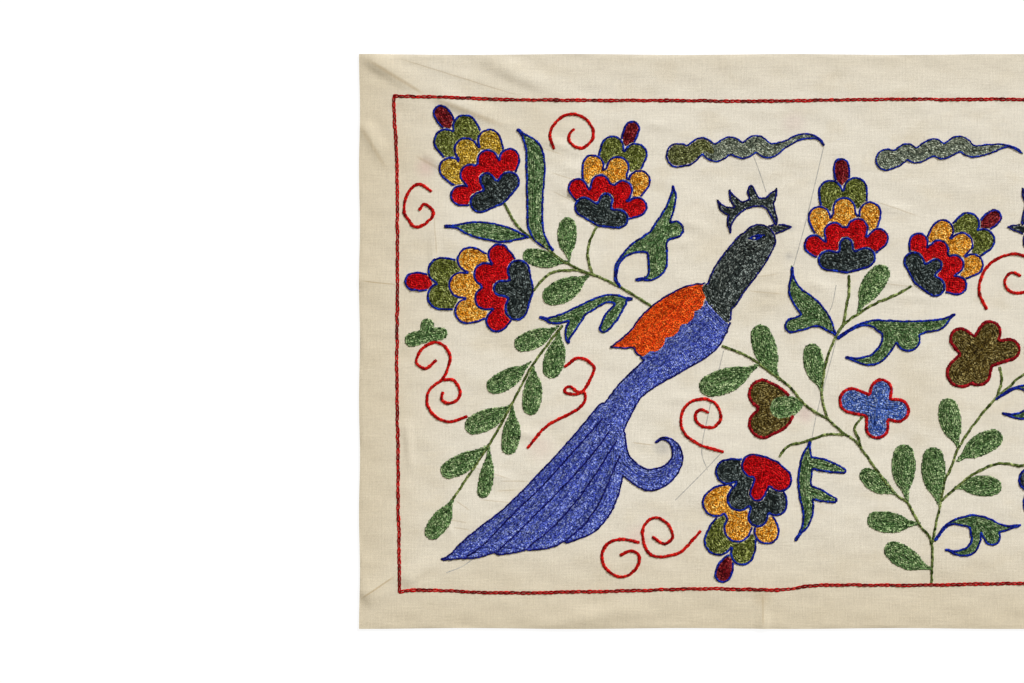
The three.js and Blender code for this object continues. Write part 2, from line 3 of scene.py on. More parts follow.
import bpy
import numpy as np
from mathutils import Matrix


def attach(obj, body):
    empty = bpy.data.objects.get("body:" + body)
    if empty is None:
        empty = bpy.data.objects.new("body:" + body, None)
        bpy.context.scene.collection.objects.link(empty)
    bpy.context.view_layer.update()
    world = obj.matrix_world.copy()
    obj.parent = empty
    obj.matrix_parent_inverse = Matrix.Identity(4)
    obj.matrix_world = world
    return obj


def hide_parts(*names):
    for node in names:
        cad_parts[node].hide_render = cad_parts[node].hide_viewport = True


# A cream cotton panel with chain-stitched birds, blossoms, leaf sprays and cloud scrolls, lying face up.
# Places and sizes are in millimetres on the cloth: X along the long side, Y towards the top of the design,
# Z out of the embroidered face. They become metres where a mesh is made.

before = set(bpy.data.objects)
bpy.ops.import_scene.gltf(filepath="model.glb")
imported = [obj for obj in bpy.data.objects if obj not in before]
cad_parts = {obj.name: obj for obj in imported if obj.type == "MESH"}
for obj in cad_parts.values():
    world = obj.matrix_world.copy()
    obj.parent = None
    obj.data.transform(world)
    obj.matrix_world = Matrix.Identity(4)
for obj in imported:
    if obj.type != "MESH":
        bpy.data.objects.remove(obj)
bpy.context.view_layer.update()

MM = 0.001
random = np.random.default_rng(1871)

# Cloth sizes
CLOTH_WIDTH = 940.0
CLOTH_HEIGHT = 500.0
CLOTH_THICKNESS = 1.5
CLOTH_STEP = 3.4
CORNER_STEP = 2.2
CORNER_REACH = 60.0
EDGE_WANDER = 0.8
EDGE_WAVES = 5
EDGE_SLACK = 0.1
RIM_THICKNESS = 1.3
TINY = 1e-9

# Chain links: how they are worked, and the length, width and height of one
FILL_LINK = {"kind": "packed", "length": 1.6, "width": 1.95, "height": 0.8}
OUTLINE_LINK = {"kind": "rope", "length": 2.5, "width": 2.5, "height": 0.95}
FEATHER_LINK = {"kind": "rope", "length": 2.3, "width": 2.0, "height": 0.95}
FEATHER_LINE_LINK = {"kind": "rope", "length": 2.3, "width": 2.1, "height": 1.5}
BROAD_LINK = {"kind": "rope", "length": 2.6, "width": 3.6, "height": 1.0}
STEM_LINK = {"kind": "rope", "length": 2.6, "width": 2.9, "height": 0.9}
TENDRIL_LINK = {"kind": "rope", "length": 3.2, "width": 3.4, "height": 1.0}
FRAME_LINK = {"kind": "open", "length": 4.8, "width": 3.5, "height": 0.8}

# Fills and outlines: the pitch of rows, the grid they are found on, how far the padding stays inside a
# fill, how far a line runs on under its neighbour, and shares of a row's or an outline's width
ROW_PITCH = 1.7
FIELD_STEP = 0.75
GRID_MARGIN = 4
PADDING_CELLS = 2
EDGED_INSET = 0.9
PLAIN_INSET = 0.2
RUN_IN = 2.4
COVER_GAP = 0.2
THINNEST_FILL = 0.6
THINNEST_EDGED = 0.74
FILL_INSET = 0.8


def table(columns, *rows):
    """Rows of values by the names of their columns."""
    return [dict(zip(columns.split(), row)) for row in rows]


# Folds of the cloth: a soft ridge between two points, steep on its right hand and gentle on its left,
# highest at a share of its length
FOLDS = table(
    "from to steep gentle height highest_at",
    ((-470, 250), (-409, 213), 9, 17, 2, 0.2),
    ((-372, 249), (-288, 211), 9, 17, 1.3, 0.4),
    ((-470, 196), (-440, 140), 8, 12, 1.3, 0.2),
    ((-470, -225), (-436, -204), 14, 14, 1.6, 0.2),
    ((-330, -249), (-173, -226), 12, 14, 1.4, 0.4),
    ((-470, 53), (-436, 53), 6, 8, 1, 0),
    ((-119, -222), (-119, -250), 6, 9, 1.2, 1),
    ((470, 248), (416, 214), 14, 9, 2.2, 0.1),
    ((424, -204), (470, -240), 9, 14, 2.2, 0.9),
    ((160, 248), (330, 228), 10, 14, 1.2, 0.5),
)


# Shader expressions


def srgb(red, green, blue):
    """A colour given as it looks on a screen, as the linear values that a shader takes."""

    def linear(value):
        share = value / 255
        return share / 12.92 if share <= 0.04045 else ((share + 0.055) / 1.055) ** 2.4

    return (linear(red), linear(green), linear(blue))


class Wire:
    """A shader socket that takes part in sums and products."""

    def __init__(self, finish, socket):
        self.finish = finish
        self.socket = socket

    def math(self, operation, first, second=0.0):
        return self.finish.add("ShaderNodeMath", {"operation": operation}, {0: first, 1: second})

    def __add__(self, other):
        return self.math("ADD", self, other)

    def __sub__(self, other):
        return self.math("SUBTRACT", self, other)

    def __mul__(self, other):
        return self.math("MULTIPLY", self, other)

    def __rsub__(self, other):
        return self.math("SUBTRACT", other, self)

    def __abs__(self):
        return self.math("ABSOLUTE", self)

    __radd__ = __add__
    __rmul__ = __mul__

    def sine(self):
        return self.math("SINE", self)

    def larger(self, other):
        return self.math("MAXIMUM", self, other)


class Finish:
    """One material, built from wires."""

    def __init__(self, name):
        self.material = bpy.data.materials.new(name)
        self.material.use_nodes = True
        self.nodes = self.material.node_tree.nodes
        self.links = self.material.node_tree.links
        self.shader = self.nodes["Principled BSDF"]

    def add(self, kind, settings=None, sockets=None, output=0):
        """A new node: its settings first, then the values or links of its sockets."""
        node = self.nodes.new(kind)
        for key, value in (settings or {}).items():
            setattr(node, key, value)
        for key, value in (sockets or {}).items():
            self.join(node.inputs[key], value)
        return Wire(self, node.outputs[output])

    def join(self, entry, value):
        if isinstance(value, Wire):
            self.links.new(value.socket, entry)
        elif isinstance(value, tuple) and entry.type == "RGBA":
            entry.default_value = (*value, 1.0)
        else:
            entry.default_value = value

    def feed(self, **inputs):
        """Values or wires for the shader's own sockets, with spaces written as underscores."""
        for key, value in inputs.items():
            self.join(self.shader.inputs[key.replace("_", " ")], value)

    def place(self):
        return self.add("ShaderNodeTexCoord", output="Object")

    def flat(self, at):
        """The X and the Y of a place."""
        return [self.add("ShaderNodeSeparateXYZ", {}, {0: at}, output=axis) for axis in "XY"]

    def noise(self, at, stretch, detail=2.0):
        """Noise with its number of lumps to the metre along each axis."""
        placed = self.add("ShaderNodeMapping", {}, {"Vector": at, "Scale": stretch})
        return self.add("ShaderNodeTexNoise", {}, {"Vector": placed, "Scale": 1.0, "Detail": detail})

    def step(self, value, low, high):
        """Rises smoothly from zero at the low value to one at the high one."""
        settings = {"interpolation_type": "SMOOTHSTEP"}
        return self.add("ShaderNodeMapRange", settings, {"Value": value, "From Min": low, "From Max": high})

    def line_mask(self, at, start, end, half, waver):
        """One along a line between two places in millimetres, and nothing past its sides and ends."""
        middle = ((start[0] + end[0]) / 2 * MM, (start[1] + end[1]) / 2 * MM, 0.0)
        reach = math.dist(start, end) / 2 * MM
        turn = (0.0, 0.0, math.atan2(end[1] - start[1], end[0] - start[0]))
        sockets = {"Vector": at, "Location": middle, "Rotation": turn}
        own = self.add("ShaderNodeMapping", {"vector_type": "TEXTURE"}, sockets)
        along, across = self.flat(own)
        beside = self.step(abs(across + waver), 0.0, half * MM)
        past = self.step(abs(along), reach * CREASE_FULL, reach)
        return (1 - beside) * (1 - past)

    def tint(self, mask, under, over, blend="MIX"):
        settings = {"data_type": "RGBA", "blend_type": blend}
        return self.add("ShaderNodeMix", settings, {0: mask, 6: under, 7: over}, output=2)

    def shade(self, colour, value):
        """A colour made lighter or darker by a value around one."""
        grey = self.add("ShaderNodeCombineColor", {}, {"Red": value, "Green": value, "Blue": value})
        return self.tint(1.0, colour, grey, "MULTIPLY")

    def bump(self, height, strength, distance):
        sockets = {"Height": height, "Strength": strength, "Distance": distance}
        self.feed(Normal=self.add("ShaderNodeBump", {}, sockets))


# Finishes

CREAM = srgb(227, 219, 201)
WARM_CREAM = srgb(211, 197, 168)
SLUB_BROWN = srgb(150, 122, 84)
WEAVE_PITCH = 0.0007
WEAVE_SHARE = 0.3

# Unevenness of the cotton: lumps to the metre along each axis, the values between which a mark shows, how
# strongly it shows, how far marks and creases waver, and the share of a crease that shows in full
WEFT_LUMPS = (60, 700, 1)
WARP_LUMPS = (700, 60, 1)
PATCHES = {"lumps": (7, 9, 1), "range": (0.5, 0.72), "strength": 0.5}
MOTTLE = {"lumps": (26, 44, 1), "range": (0.48, 0.72), "strength": 0.3}
SLUBS = {"lumps": (90, 500, 1), "range": (0.74, 0.84), "strength": 0.3}
GRAIN_LUMPS = (480, 520, 1)
COTTON_TONE = {"least": 0.74, "weft": 0.16, "warp": 0.16, "grain": 0.2}
STAIN_WAVER = 0.02
CREASE_WAVER = 0.006
CREASE_FULL = 0.5

# Margins darker and warmer than the middle, in metres from the middle to where the darkening begins and is
# full
SIDE_DARKENING = (0.36, 0.48)
LOW_DARKENING = (0.12, 0.26)
HIGH_DARKENING = (0.19, 0.27)
HIGH_DARKENING_SHARE = 0.5
DARKENING_STRENGTH = 0.9

# Faint marks on the cloth: place, radius and how strongly the colour shows
STAINS = table(
    "at radius colour strength",
    ((-412, 152), 16, (205, 165, 158), 0.45),
    ((-399, 152), 10, (168, 172, 178), 0.4),
    ((-92, 190), 14, (200, 176, 168), 0.35),
    ((-226, -172), 16, (214, 176, 166), 0.35),
    ((-82, -63), 13, (208, 170, 165), 0.4),
    ((-312, -92), 18, (216, 186, 172), 0.3),
    ((-120, -222), 12, (196, 176, 140), 0.4),
    ((-96, 74), 7, (170, 168, 165), 0.45),
    ((-206, -91), 9, (172, 168, 160), 0.5),
    ((-94, 99), 6, (176, 172, 166), 0.4),
)

# Sharp creases with painted shade along their line: their ends, half width and how strongly the brown
# painted shade shows
CREASE_SHADE_BROWN = srgb(172, 146, 98)
SHADED_CREASES = table(
    "from to half strength",
    ((-466, 247), (-408, 212), 2.6, 0.4),
    ((-445, 249), (-322, 212), 0.8, 0.4),
    ((-411, 214), (-340, 187), 4, 0.35),
    ((-470, 52.5), (-434, 49), 0.9, 0.6),
    ((-470, -225), (-436, -203), 1.2, 0.6),
    ((-470, 190), (-444, 148), 3, 0.25),
    ((-405, 113), (-403, 70), 0.9, 0.35),
    ((-422, 163), (-396, 148), 2, 0.3),
    ((-330, 176), (-290, 162), 1, 0.35),
    ((-306, 148), (-268, 136), 0.9, 0.35),
    ((-304, 132), (-274, 118), 0.9, 0.35),
    ((-26, 123), (20, 108), 0.9, 0.35),
    ((-234, -88), (-212, -91), 0.9, 0.5),
    ((-368, -138), (-330, -142), 0.9, 0.35),
    ((-376, -108), (-336, -121), 0.9, 0.35),
    ((-134, 45), (-98, 42), 0.9, 0.35),
    ((-140, 55), (-102, 60), 0.9, 0.3),
    ((-34, 52), (26, 46), 0.9, 0.3),
    ((-119, -218), (-119, -249), 1.4, 0.35),
    ((-387, -138), (-373, -148), 0.9, 0.4),
    ((-395, -155), (-375, -158), 0.9, 0.35),
    ((-389, -162), (-373, -164), 0.9, 0.35),
    ((-349, -122), (-320, -122), 0.9, 0.4),
    ((-352, -131), (-332, -130), 0.9, 0.35),
)


def cotton_finish():
    """Hand-loomed cotton: uneven weft and warp, slubs, margins darker and warmer than the middle, a few
    faint marks and painted brown shade along the creases.
    """
    f = Finish("ground_cotton")
    at = f.place()
    x, y = f.flat(at)
    weft = f.noise(at, WEFT_LUMPS)
    warp = f.noise(at, WARP_LUMPS)
    patches = f.noise(at, PATCHES["lumps"], detail=4.0)
    # Darker and warmer towards the sides, the bottom and the top
    side_darkening = f.step(abs(x), *SIDE_DARKENING)
    low_darkening = f.step(0 - y, *LOW_DARKENING)
    high_darkening = f.step(y, *HIGH_DARKENING) * HIGH_DARKENING_SHARE
    darkening = side_darkening.larger(low_darkening).larger(high_darkening)
    colour = f.tint(darkening * DARKENING_STRENGTH, CREAM, WARM_CREAM)
    colour = f.tint(f.step(patches, *PATCHES["range"]) * PATCHES["strength"], colour, WARM_CREAM)
    mottle = f.noise(at, MOTTLE["lumps"], detail=3.0)
    colour = f.tint(f.step(mottle, *MOTTLE["range"]) * MOTTLE["strength"], colour, WARM_CREAM)
    flat = f.add("ShaderNodeCombineXYZ", {}, {"X": x, "Y": y})
    waver = patches - 0.5
    for stain in STAINS:
        ends = {0: flat, 1: (stain["at"][0] * MM, stain["at"][1] * MM, 0.0)}
        away = f.add("ShaderNodeVectorMath", {"operation": "DISTANCE"}, ends, output="Value")
        mask = 1 - f.step(away + waver * STAIN_WAVER, 0.0, stain["radius"] * MM)
        colour = f.tint(mask * stain["strength"], colour, srgb(*stain["colour"]))
    # Painted shade along the creases, in brown
    for crease in SHADED_CREASES:
        mask = f.line_mask(at, crease["from"], crease["to"], crease["half"], waver * CREASE_WAVER)
        colour = f.tint(mask * crease["strength"], colour, CREASE_SHADE_BROWN)
    slubs = f.step(f.noise(at, SLUBS["lumps"]), *SLUBS["range"])
    colour = f.tint(slubs * SLUBS["strength"], colour, SLUB_BROWN)
    grain = f.noise(at, GRAIN_LUMPS, detail=3.0)
    tone = COTTON_TONE["least"] + weft * COTTON_TONE["weft"] + warp * COTTON_TONE["warp"]
    tone = tone + grain * COTTON_TONE["grain"]
    weave = (x * (math.tau / WEAVE_PITCH)).sine() * (y * (math.tau / WEAVE_PITCH)).sine()
    f.feed(Base_Color=f.shade(colour, tone), Roughness=0.85 + weft * 0.1)
    f.feed(Sheen_Weight=0.08, Sheen_Roughness=0.6)
    f.bump(weave * WEAVE_SHARE + weft + warp, strength=0.35, distance=0.0005)
    return f.material


FIBRE_LUMPS = (2400, 2400, 1200)
SHADE_FLECK_LUMPS = (950, 950, 300)
SHADE_FLECK_RANGE = (0.36, 0.6)
THREAD_TONE = {"least": 0.34, "fibres": 0.3, "shade_flecks": 0.85}


def thread_finish(name):
    """Twisted thread whose colour changes from stitch to stitch, with fine fibres along it and dark flecks
    of painted shade for the small holes between links.
    """
    f = Finish(name)
    colour = f.add("ShaderNodeAttribute", {"attribute_name": "thread_colour"}, output="Color")
    fibres = f.noise(f.place(), FIBRE_LUMPS, detail=1.0)
    # Dark flecks: painted shade of the small holes between links
    shade_flecks = f.step(f.noise(f.place(), SHADE_FLECK_LUMPS, detail=0.0), *SHADE_FLECK_RANGE)
    tone = THREAD_TONE["least"] + fibres * THREAD_TONE["fibres"] + shade_flecks * THREAD_TONE["shade_flecks"]
    f.feed(Base_Color=f.shade(colour, tone), Roughness=0.45 + fibres * 0.25)
    f.feed(Specular_IOR_Level=0.06)
    f.bump(fibres, strength=0.3, distance=0.0003)
    return f.material


GUIDE_PALE = srgb(196, 190, 176)
GUIDE_GREY = srgb(166, 163, 156)
GUIDE_LUMPS = (300, 300, 1)
GUIDE_WORN = (0.35, 0.65)


def guide_line_finish():
    """Grey drawing lines, worn thin."""
    f = Finish("guide_line")
    worn = f.noise(f.place(), GUIDE_LUMPS)
    f.feed(Base_Color=f.tint(f.step(worn, *GUIDE_WORN), GUIDE_PALE, GUIDE_GREY))
    f.feed(Roughness=0.9)
    return f.material


FLOOR_DARK = (0.12, 0.12, 0.12)
FLOOR_LIGHT = (0.14, 0.14, 0.14)
FLOOR_LUMPS = (2, 2, 1)
FLOOR_GLOW = 0.9


def floor_finish():
    """A white table lit from below, which leaves hardly any shadow."""
    f = Finish("white_table")
    mottle = f.noise(f.place(), FLOOR_LUMPS, detail=3.0)
    f.feed(Base_Color=f.tint(mottle, FLOOR_DARK, FLOOR_LIGHT), Roughness=0.9)
    f.feed(Emission_Color=(1.0, 1.0, 1.0), Emission_Strength=FLOOR_GLOW, Specular_IOR_Level=0.0)
    return f.material


# Meshes


def mesh_piece(name, points, faces, material):
    """A smooth-shaded mesh from millimetre points and quads, given as arrays."""
    mesh = bpy.data.meshes.new(name)
    mesh.vertices.add(len(points))
    mesh.vertices.foreach_set("co", np.ravel(points * MM).astype(np.float32))
    mesh.loops.add(faces.size)
    mesh.loops.foreach_set("vertex_index", np.ravel(faces).astype(np.int32))
    mesh.polygons.add(len(faces))
    mesh.polygons.foreach_set("loop_start", np.arange(0, faces.size, faces.shape[1], dtype=np.int32))
    mesh.update(calc_edges=True)
    mesh.polygons.foreach_set("use_smooth", np.ones(len(faces), dtype=bool))
    mesh.materials.append(material)
    piece = bpy.data.objects.new(name, mesh)
    bpy.context.scene.collection.objects.link(piece)
    return piece


SECOND_MAP_SCALE = 0.84
SECOND_MAP_SHIFT = (0.0, 0.54)


def lay_flat_map(piece, points, faces, lift=None):
    """A map of the piece as seen from above. A lifted face goes to a second map beside the first."""
    u = points[:, 0] / CLOTH_WIDTH + 0.5
    v = (points[:, 1] + CLOTH_HEIGHT / 2) / CLOTH_WIDTH
    corners = np.ravel(faces)
    flat = np.stack([u, v], axis=1)[corners]
    if lift is not None:
        below = np.repeat(lift, faces.shape[1])
        flat[below] = flat[below] * SECOND_MAP_SCALE + SECOND_MAP_SHIFT
    layer = piece.data.uv_layers.new(name="OFBake")
    layer.data.foreach_set("uv", np.ravel(flat).astype(np.float32))


# The cloth's height


def fade(share):
    """From one at zero smoothly down to zero at one."""
    s = np.clip(share, 0.0, 1.0)
    return 1 - s * s * (3 - 2 * s)


# How fast a fold that is highest at its end falls away past it, to the fold's length
END_FALL = 4


def ridge(x, y, fold):
    """Height of a fold over places on the cloth."""
    start = np.array(fold["from"], dtype=float)
    run = np.array(fold["to"], dtype=float) - start
    length = np.hypot(*run)
    along = ((x - start[0]) * run[0] + (y - start[1]) * run[1]) / length**2
    right = ((x - start[0]) * run[1] - (y - start[1]) * run[0]) / length
    across = np.where(right > 0, right / fold["steep"], -right / fold["gentle"])
    peak = fold["highest_at"]
    before = (peak - along) / peak if peak > 0 else -along * END_FALL
    after = (along - peak) / (1 - peak) if peak < 1 else (along - 1) * END_FALL
    return fold["height"] * fade(across) * fade(np.maximum(before, after))


def cloth_lift(x, y):
    """Height of the underside above the surface."""
    return sum(ridge(x, y, fold) for fold in FOLDS)


# Shallow creases and puckers of the face, as soft ridges and troughs
CREASES = table(
    "from to steep gentle height highest_at",
    ((-411, 214), (-322, 181), 7, 15, 1.3, 0.2),
    ((-434, -213), (-390, -184), 6, 14, 1.4, 0.2),
    ((-445, 249), (-322, 213), 2.5, 6, 0.35, 0.3),
    ((-470, -225), (-438, -204), 3, 5, 0.5, 0.5),
    ((-434, 53), (-400, 52), 4, 6, 0.7, 0.2),
    ((-405, 36), (-405, 112), 4, 6, 0.9, 0.5),
    ((-318, 178), (-262, 160), 5, 7, 1.1, 0.4),
    ((-303, 156), (-264, 143), 4, 6, 0.9, 0.4),
    ((-302, 138), (-266, 118), 4, 6, 0.9, 0.4),
    ((-300, 124), (-280, 110), 4, 5, 0.7, 0.5),
    ((-418, 166), (-386, 146), 5, 7, 1.1, 0.4),
    ((-378, -108), (-334, -122), 4, 6, 0.9, 0.5),
    ((-368, -138), (-328, -143), 4, 5, 0.9, 0.5),
    ((-372, -150), (-340, -153), 4, 5, 0.7, 0.5),
    ((-352, -78), (-300, -84), 4, 6, 0.9, 0.5),
    ((-130, 46), (-96, 42), 4, 5, 0.9, 0.5),
    ((-140, 54), (-100, 60), 4, 5, 0.9, 0.5),
    ((-128, 30), (-100, 33), 4, 5, 0.9, 0.5),
    ((-206, 104), (-160, 99), 4, 6, 0.9, 0.5),
    ((-206, 84), (-166, 88), 4, 6, 0.7, 0.5),
    ((-252, 146), (-204, 138), 5, 6, 0.9, 0.5),
    ((-226, 190), (-186, 183), 5, 7, 0.9, 0.3),
    ((-34, 54), (30, 47), 4, 6, 0.9, 0.4),
    ((-20, 40), (50, 34), 4, 6, 0.9, 0.5),
    ((-30, 120), (20, 112), 5, 6, 0.9, 0.5),
    ((-82, 52), (-56, 44), 4, 5, 0.9, 0.5),
    ((-52, -128), (-16, -122), 4, 6, 0.7, 0.5),
    ((-212, -52), (-176, -48), 4, 6, 0.7, 0.5),
    ((-234, -88), (-214, -90), 4, 5, 0.7, 0.5),
    ((-400, -150), (-384, -176), 5, 6, 0.9, 0.5),
    ((-430, -60), (-424, -120), 5, 7, 0.9, 0.5),
    ((180, 150), (240, 142), 6, 8, 0.9, 0.5),
    ((150, -140), (220, -150), 6, 8, 0.9, 0.5),
    ((360, 30), (420, 20), 6, 8, 0.9, 0.5),
)

# Slow ripples left by the hoop: direction, wave length and height
RIPPLES = table(
    "turn wave height",
    (78, 63, 0.1),
    (96, 41, 0.08),
    (12, 97, 0.1),
    (140, 29, 0.05),
    (62, 23, 0.08),
    (107, 17, 0.06),
    (86, 13.4, 0.04),
    (31, 37, 0.06),
)


def face_relief(x, y):
    """Height of the face's creases and ripples above a smooth face."""
    relief = sum(ridge(x, y, crease) for crease in CREASES)
    for ripple in RIPPLES:
        turn = math.radians(ripple["turn"])
        distance = x * math.cos(turn) + y * math.sin(turn)
        relief = relief + ripple["height"] * np.sin(distance * math.tau / ripple["wave"])
    return relief


def cloth_top(x, y):
    """Height of the face."""
    return CLOTH_THICKNESS + cloth_lift(x, y) + face_relief(x, y)


def net_lines(stops):
    """Places of net lines between stops, each a place and the step that follows it."""
    places = [np.array([stops[0][0]])]
    for (start, step), (end, _) in zip(stops, stops[1:]):
        places.append(np.linspace(start, end, round((end - start) / step) + 1)[1:])
    return np.concatenate(places)


def crease_rim(sheet, loop, layer_size):
    """Sharp edges along the upper and the lower rim, so that the face stays flat up to its edge."""
    on_rim = np.zeros(2 * layer_size, dtype=bool)
    on_rim[loop] = True
    on_rim[loop + layer_size] = True
    ends = np.empty(2 * len(sheet.data.edges), dtype=np.int32)
    sheet.data.edges.foreach_get("vertices", ends)
    first, second = ends.reshape(-1, 2).T
    sharp = on_rim[first] & on_rim[second] & ((first < layer_size) == (second < layer_size))
    sheet.data.edges.foreach_set("use_edge_sharp", sharp)


def make_cloth():
    """The closed sheet: a fine net over the face and one under it, joined along the edges."""
    right, far = CLOTH_WIDTH / 2, CLOTH_HEIGHT / 2
    xs = net_lines([(-right, CORNER_STEP), (CORNER_REACH - right, CLOTH_STEP), (right, CLOTH_STEP)])
    near_corners, far_corners = (CORNER_REACH - far, CLOTH_STEP), (far - CORNER_REACH, CORNER_STEP)
    ys = net_lines([(-far, CORNER_STEP), near_corners, far_corners, (far, CORNER_STEP)])
    rows, columns = len(ys), len(xs)
    x, y = np.meshgrid(xs, ys)
    wander_x = EDGE_WANDER * np.sin((y / CLOTH_HEIGHT + 0.5) * math.pi * EDGE_WAVES) ** 2
    wander_y = EDGE_WANDER * np.sin((x / CLOTH_WIDTH + 0.5) * math.pi * EDGE_WAVES) ** 2
    on_side = np.abs(x) > right - EDGE_SLACK
    on_end = np.abs(y) > far - EDGE_SLACK
    x = x - np.sign(x) * wander_x * on_side
    y = y - np.sign(y) * wander_y * on_end
    under = cloth_lift(x, y)
    face = cloth_top(x, y)
    rim = on_side | on_end
    face[rim] = under[rim] + RIM_THICKNESS
    top = np.stack([x, y, face], axis=-1).reshape(-1, 3)
    bottom = np.stack([x, y, under], axis=-1).reshape(-1, 3)
    index = np.arange(rows * columns).reshape(rows, columns)
    a, b = index[:-1, :-1].ravel(), index[:-1, 1:].ravel()
    c, d = index[1:, 1:].ravel(), index[1:, :-1].ravel()
    upper = np.stack([a, b, c, d], axis=1)
    lower = np.stack([a, d, c, b], axis=1) + rows * columns
    loop = np.concatenate([index[0, :-1], index[:-1, -1], index[-1, :0:-1], index[:0:-1, 0]])
    ahead = np.roll(loop, -1)
    side = np.stack([loop + rows * columns, ahead + rows * columns, ahead, loop], axis=1)
    points = np.concatenate([top, bottom])
    faces = np.concatenate([upper, lower, side])
    sheet = mesh_piece("cotton_sheet", points, faces, cotton_finish())
    below = np.zeros(len(faces), dtype=bool)
    below[len(upper):len(upper) + len(lower)] = True
    lay_flat_map(sheet, points, faces, below)
    crease_rim(sheet, loop, rows * columns)
    return sheet


# Curves and fields


def smooth_line(rows, per_row=6):
    """A curve through the rows, whatever their columns are."""
    rows = np.asarray(rows, dtype=float)
    ends = np.vstack([2 * rows[0] - rows[1], rows, 2 * rows[-1] - rows[-2]])
    t = np.linspace(0, 1, per_row, endpoint=False)[:, None]
    parts = []
    for p0, p1, p2, p3 in zip(ends, ends[1:], ends[2:], ends[3:]):
        bend = (2 * p0 - 5 * p1 + 4 * p2 - p3) * t**2 + (3 * p1 - p0 - 3 * p2 + p3) * t**3
        parts.append(p1 + 0.5 * ((p2 - p0) * t + bend))
    return np.vstack([*parts, rows[-1:]])


FAR_OUTSIDE = 24.0


def band_field(xs, ys, rows, least):
    """Distance from the edge of a tapering band on a grid, negative inside.

    Rows are x, y and half width, and the band is nowhere thinner than the least half width.
    """
    line = smooth_line(rows)
    line[:, 2] = np.maximum(line[:, 2], least)
    reach = line[:, 2].max() + FAR_OUTSIDE
    left, right = np.searchsorted(xs, (line[:, 0].min() - reach, line[:, 0].max() + reach))
    low, high = np.searchsorted(ys, (line[:, 1].min() - reach, line[:, 1].max() + reach))
    x, y = np.meshgrid(xs[left:right], ys[low:high])
    near = np.full(x.shape, FAR_OUTSIDE)
    for (ax, ay, ah), (bx, by, bh) in zip(line, line[1:]):
        dx, dy = bx - ax, by - ay
        share = np.clip(((x - ax) * dx + (y - ay) * dy) / (dx * dx + dy * dy + TINY), 0, 1)
        away = np.hypot(x - ax - share * dx, y - ay - share * dy)
        near = np.minimum(near, away - ah - share * (bh - ah))
    field = np.full((len(ys), len(xs)), FAR_OUTSIDE)
    field[low:high, left:right] = near
    return field


# Sides of a grid cell that a contour joins, for each set of corners that lie inside
CELL_SIDES = {
    1: [(3, 0)], 2: [(0, 1)], 3: [(3, 1)], 4: [(1, 2)], 5: [(3, 0), (1, 2)], 6: [(0, 2)], 7: [(3, 2)],
    8: [(2, 3)], 9: [(2, 0)], 10: [(0, 1), (2, 3)], 11: [(2, 1)], 12: [(1, 3)], 13: [(1, 0)], 14: [(0, 3)],
}


def contour_lines(x, y, field, level):
    """Lines along which a field has one value, each an array of points. Closed ones repeat their start."""
    inside = field < level
    rows, columns = field.shape
    index = np.arange(rows * columns).reshape(rows, columns)
    case = inside[:-1, :-1] + 2 * inside[:-1, 1:] + 4 * inside[1:, 1:] + 8 * inside[1:, :-1]
    upright = rows * columns
    sides = [index[:-1, :-1], index[:-1, 1:] + upright, index[1:, :-1], index[:-1, :-1] + upright]
    follow = {}
    for number, pairs in CELL_SIDES.items():
        cells = case == number
        for first, second in pairs:
            follow.update(zip(sides[first][cells].tolist(), sides[second][cells].tolist()))
    arrivals = set(follow.values())
    starts = [side for side in follow if side not in arrivals]
    chains = []
    while follow:
        side = starts.pop() if starts else next(iter(follow))
        if side not in follow:
            continue
        chain = [side]
        while side in follow:
            side = follow.pop(side)
            chain.append(side)
        chains.append(np.array(chain))
    flat_x, flat_y, values = x.ravel(), y.ravel(), field.ravel()
    lines = []
    for chain in chains:
        low = chain % upright
        high = np.where(chain >= upright, low + columns, low + 1)
        gap = values[high] - values[low]
        share = (level - values[low]) / np.where(np.abs(gap) < TINY, 1.0, gap)
        px = flat_x[low] + share * (flat_x[high] - flat_x[low])
        py = flat_y[low] + share * (flat_y[high] - flat_y[low])
        lines.append(np.stack([px, py], axis=1))
    return lines


def kept_runs(line, keep):
    """The stretches of a line whose points are all kept."""
    cuts = np.flatnonzero(np.diff(keep.astype(int))) + 1
    parts = np.split(np.arange(len(line)), cuts)
    return [line[part] for part in parts if keep[part[0]] and len(part) > 1]


# Embroidery

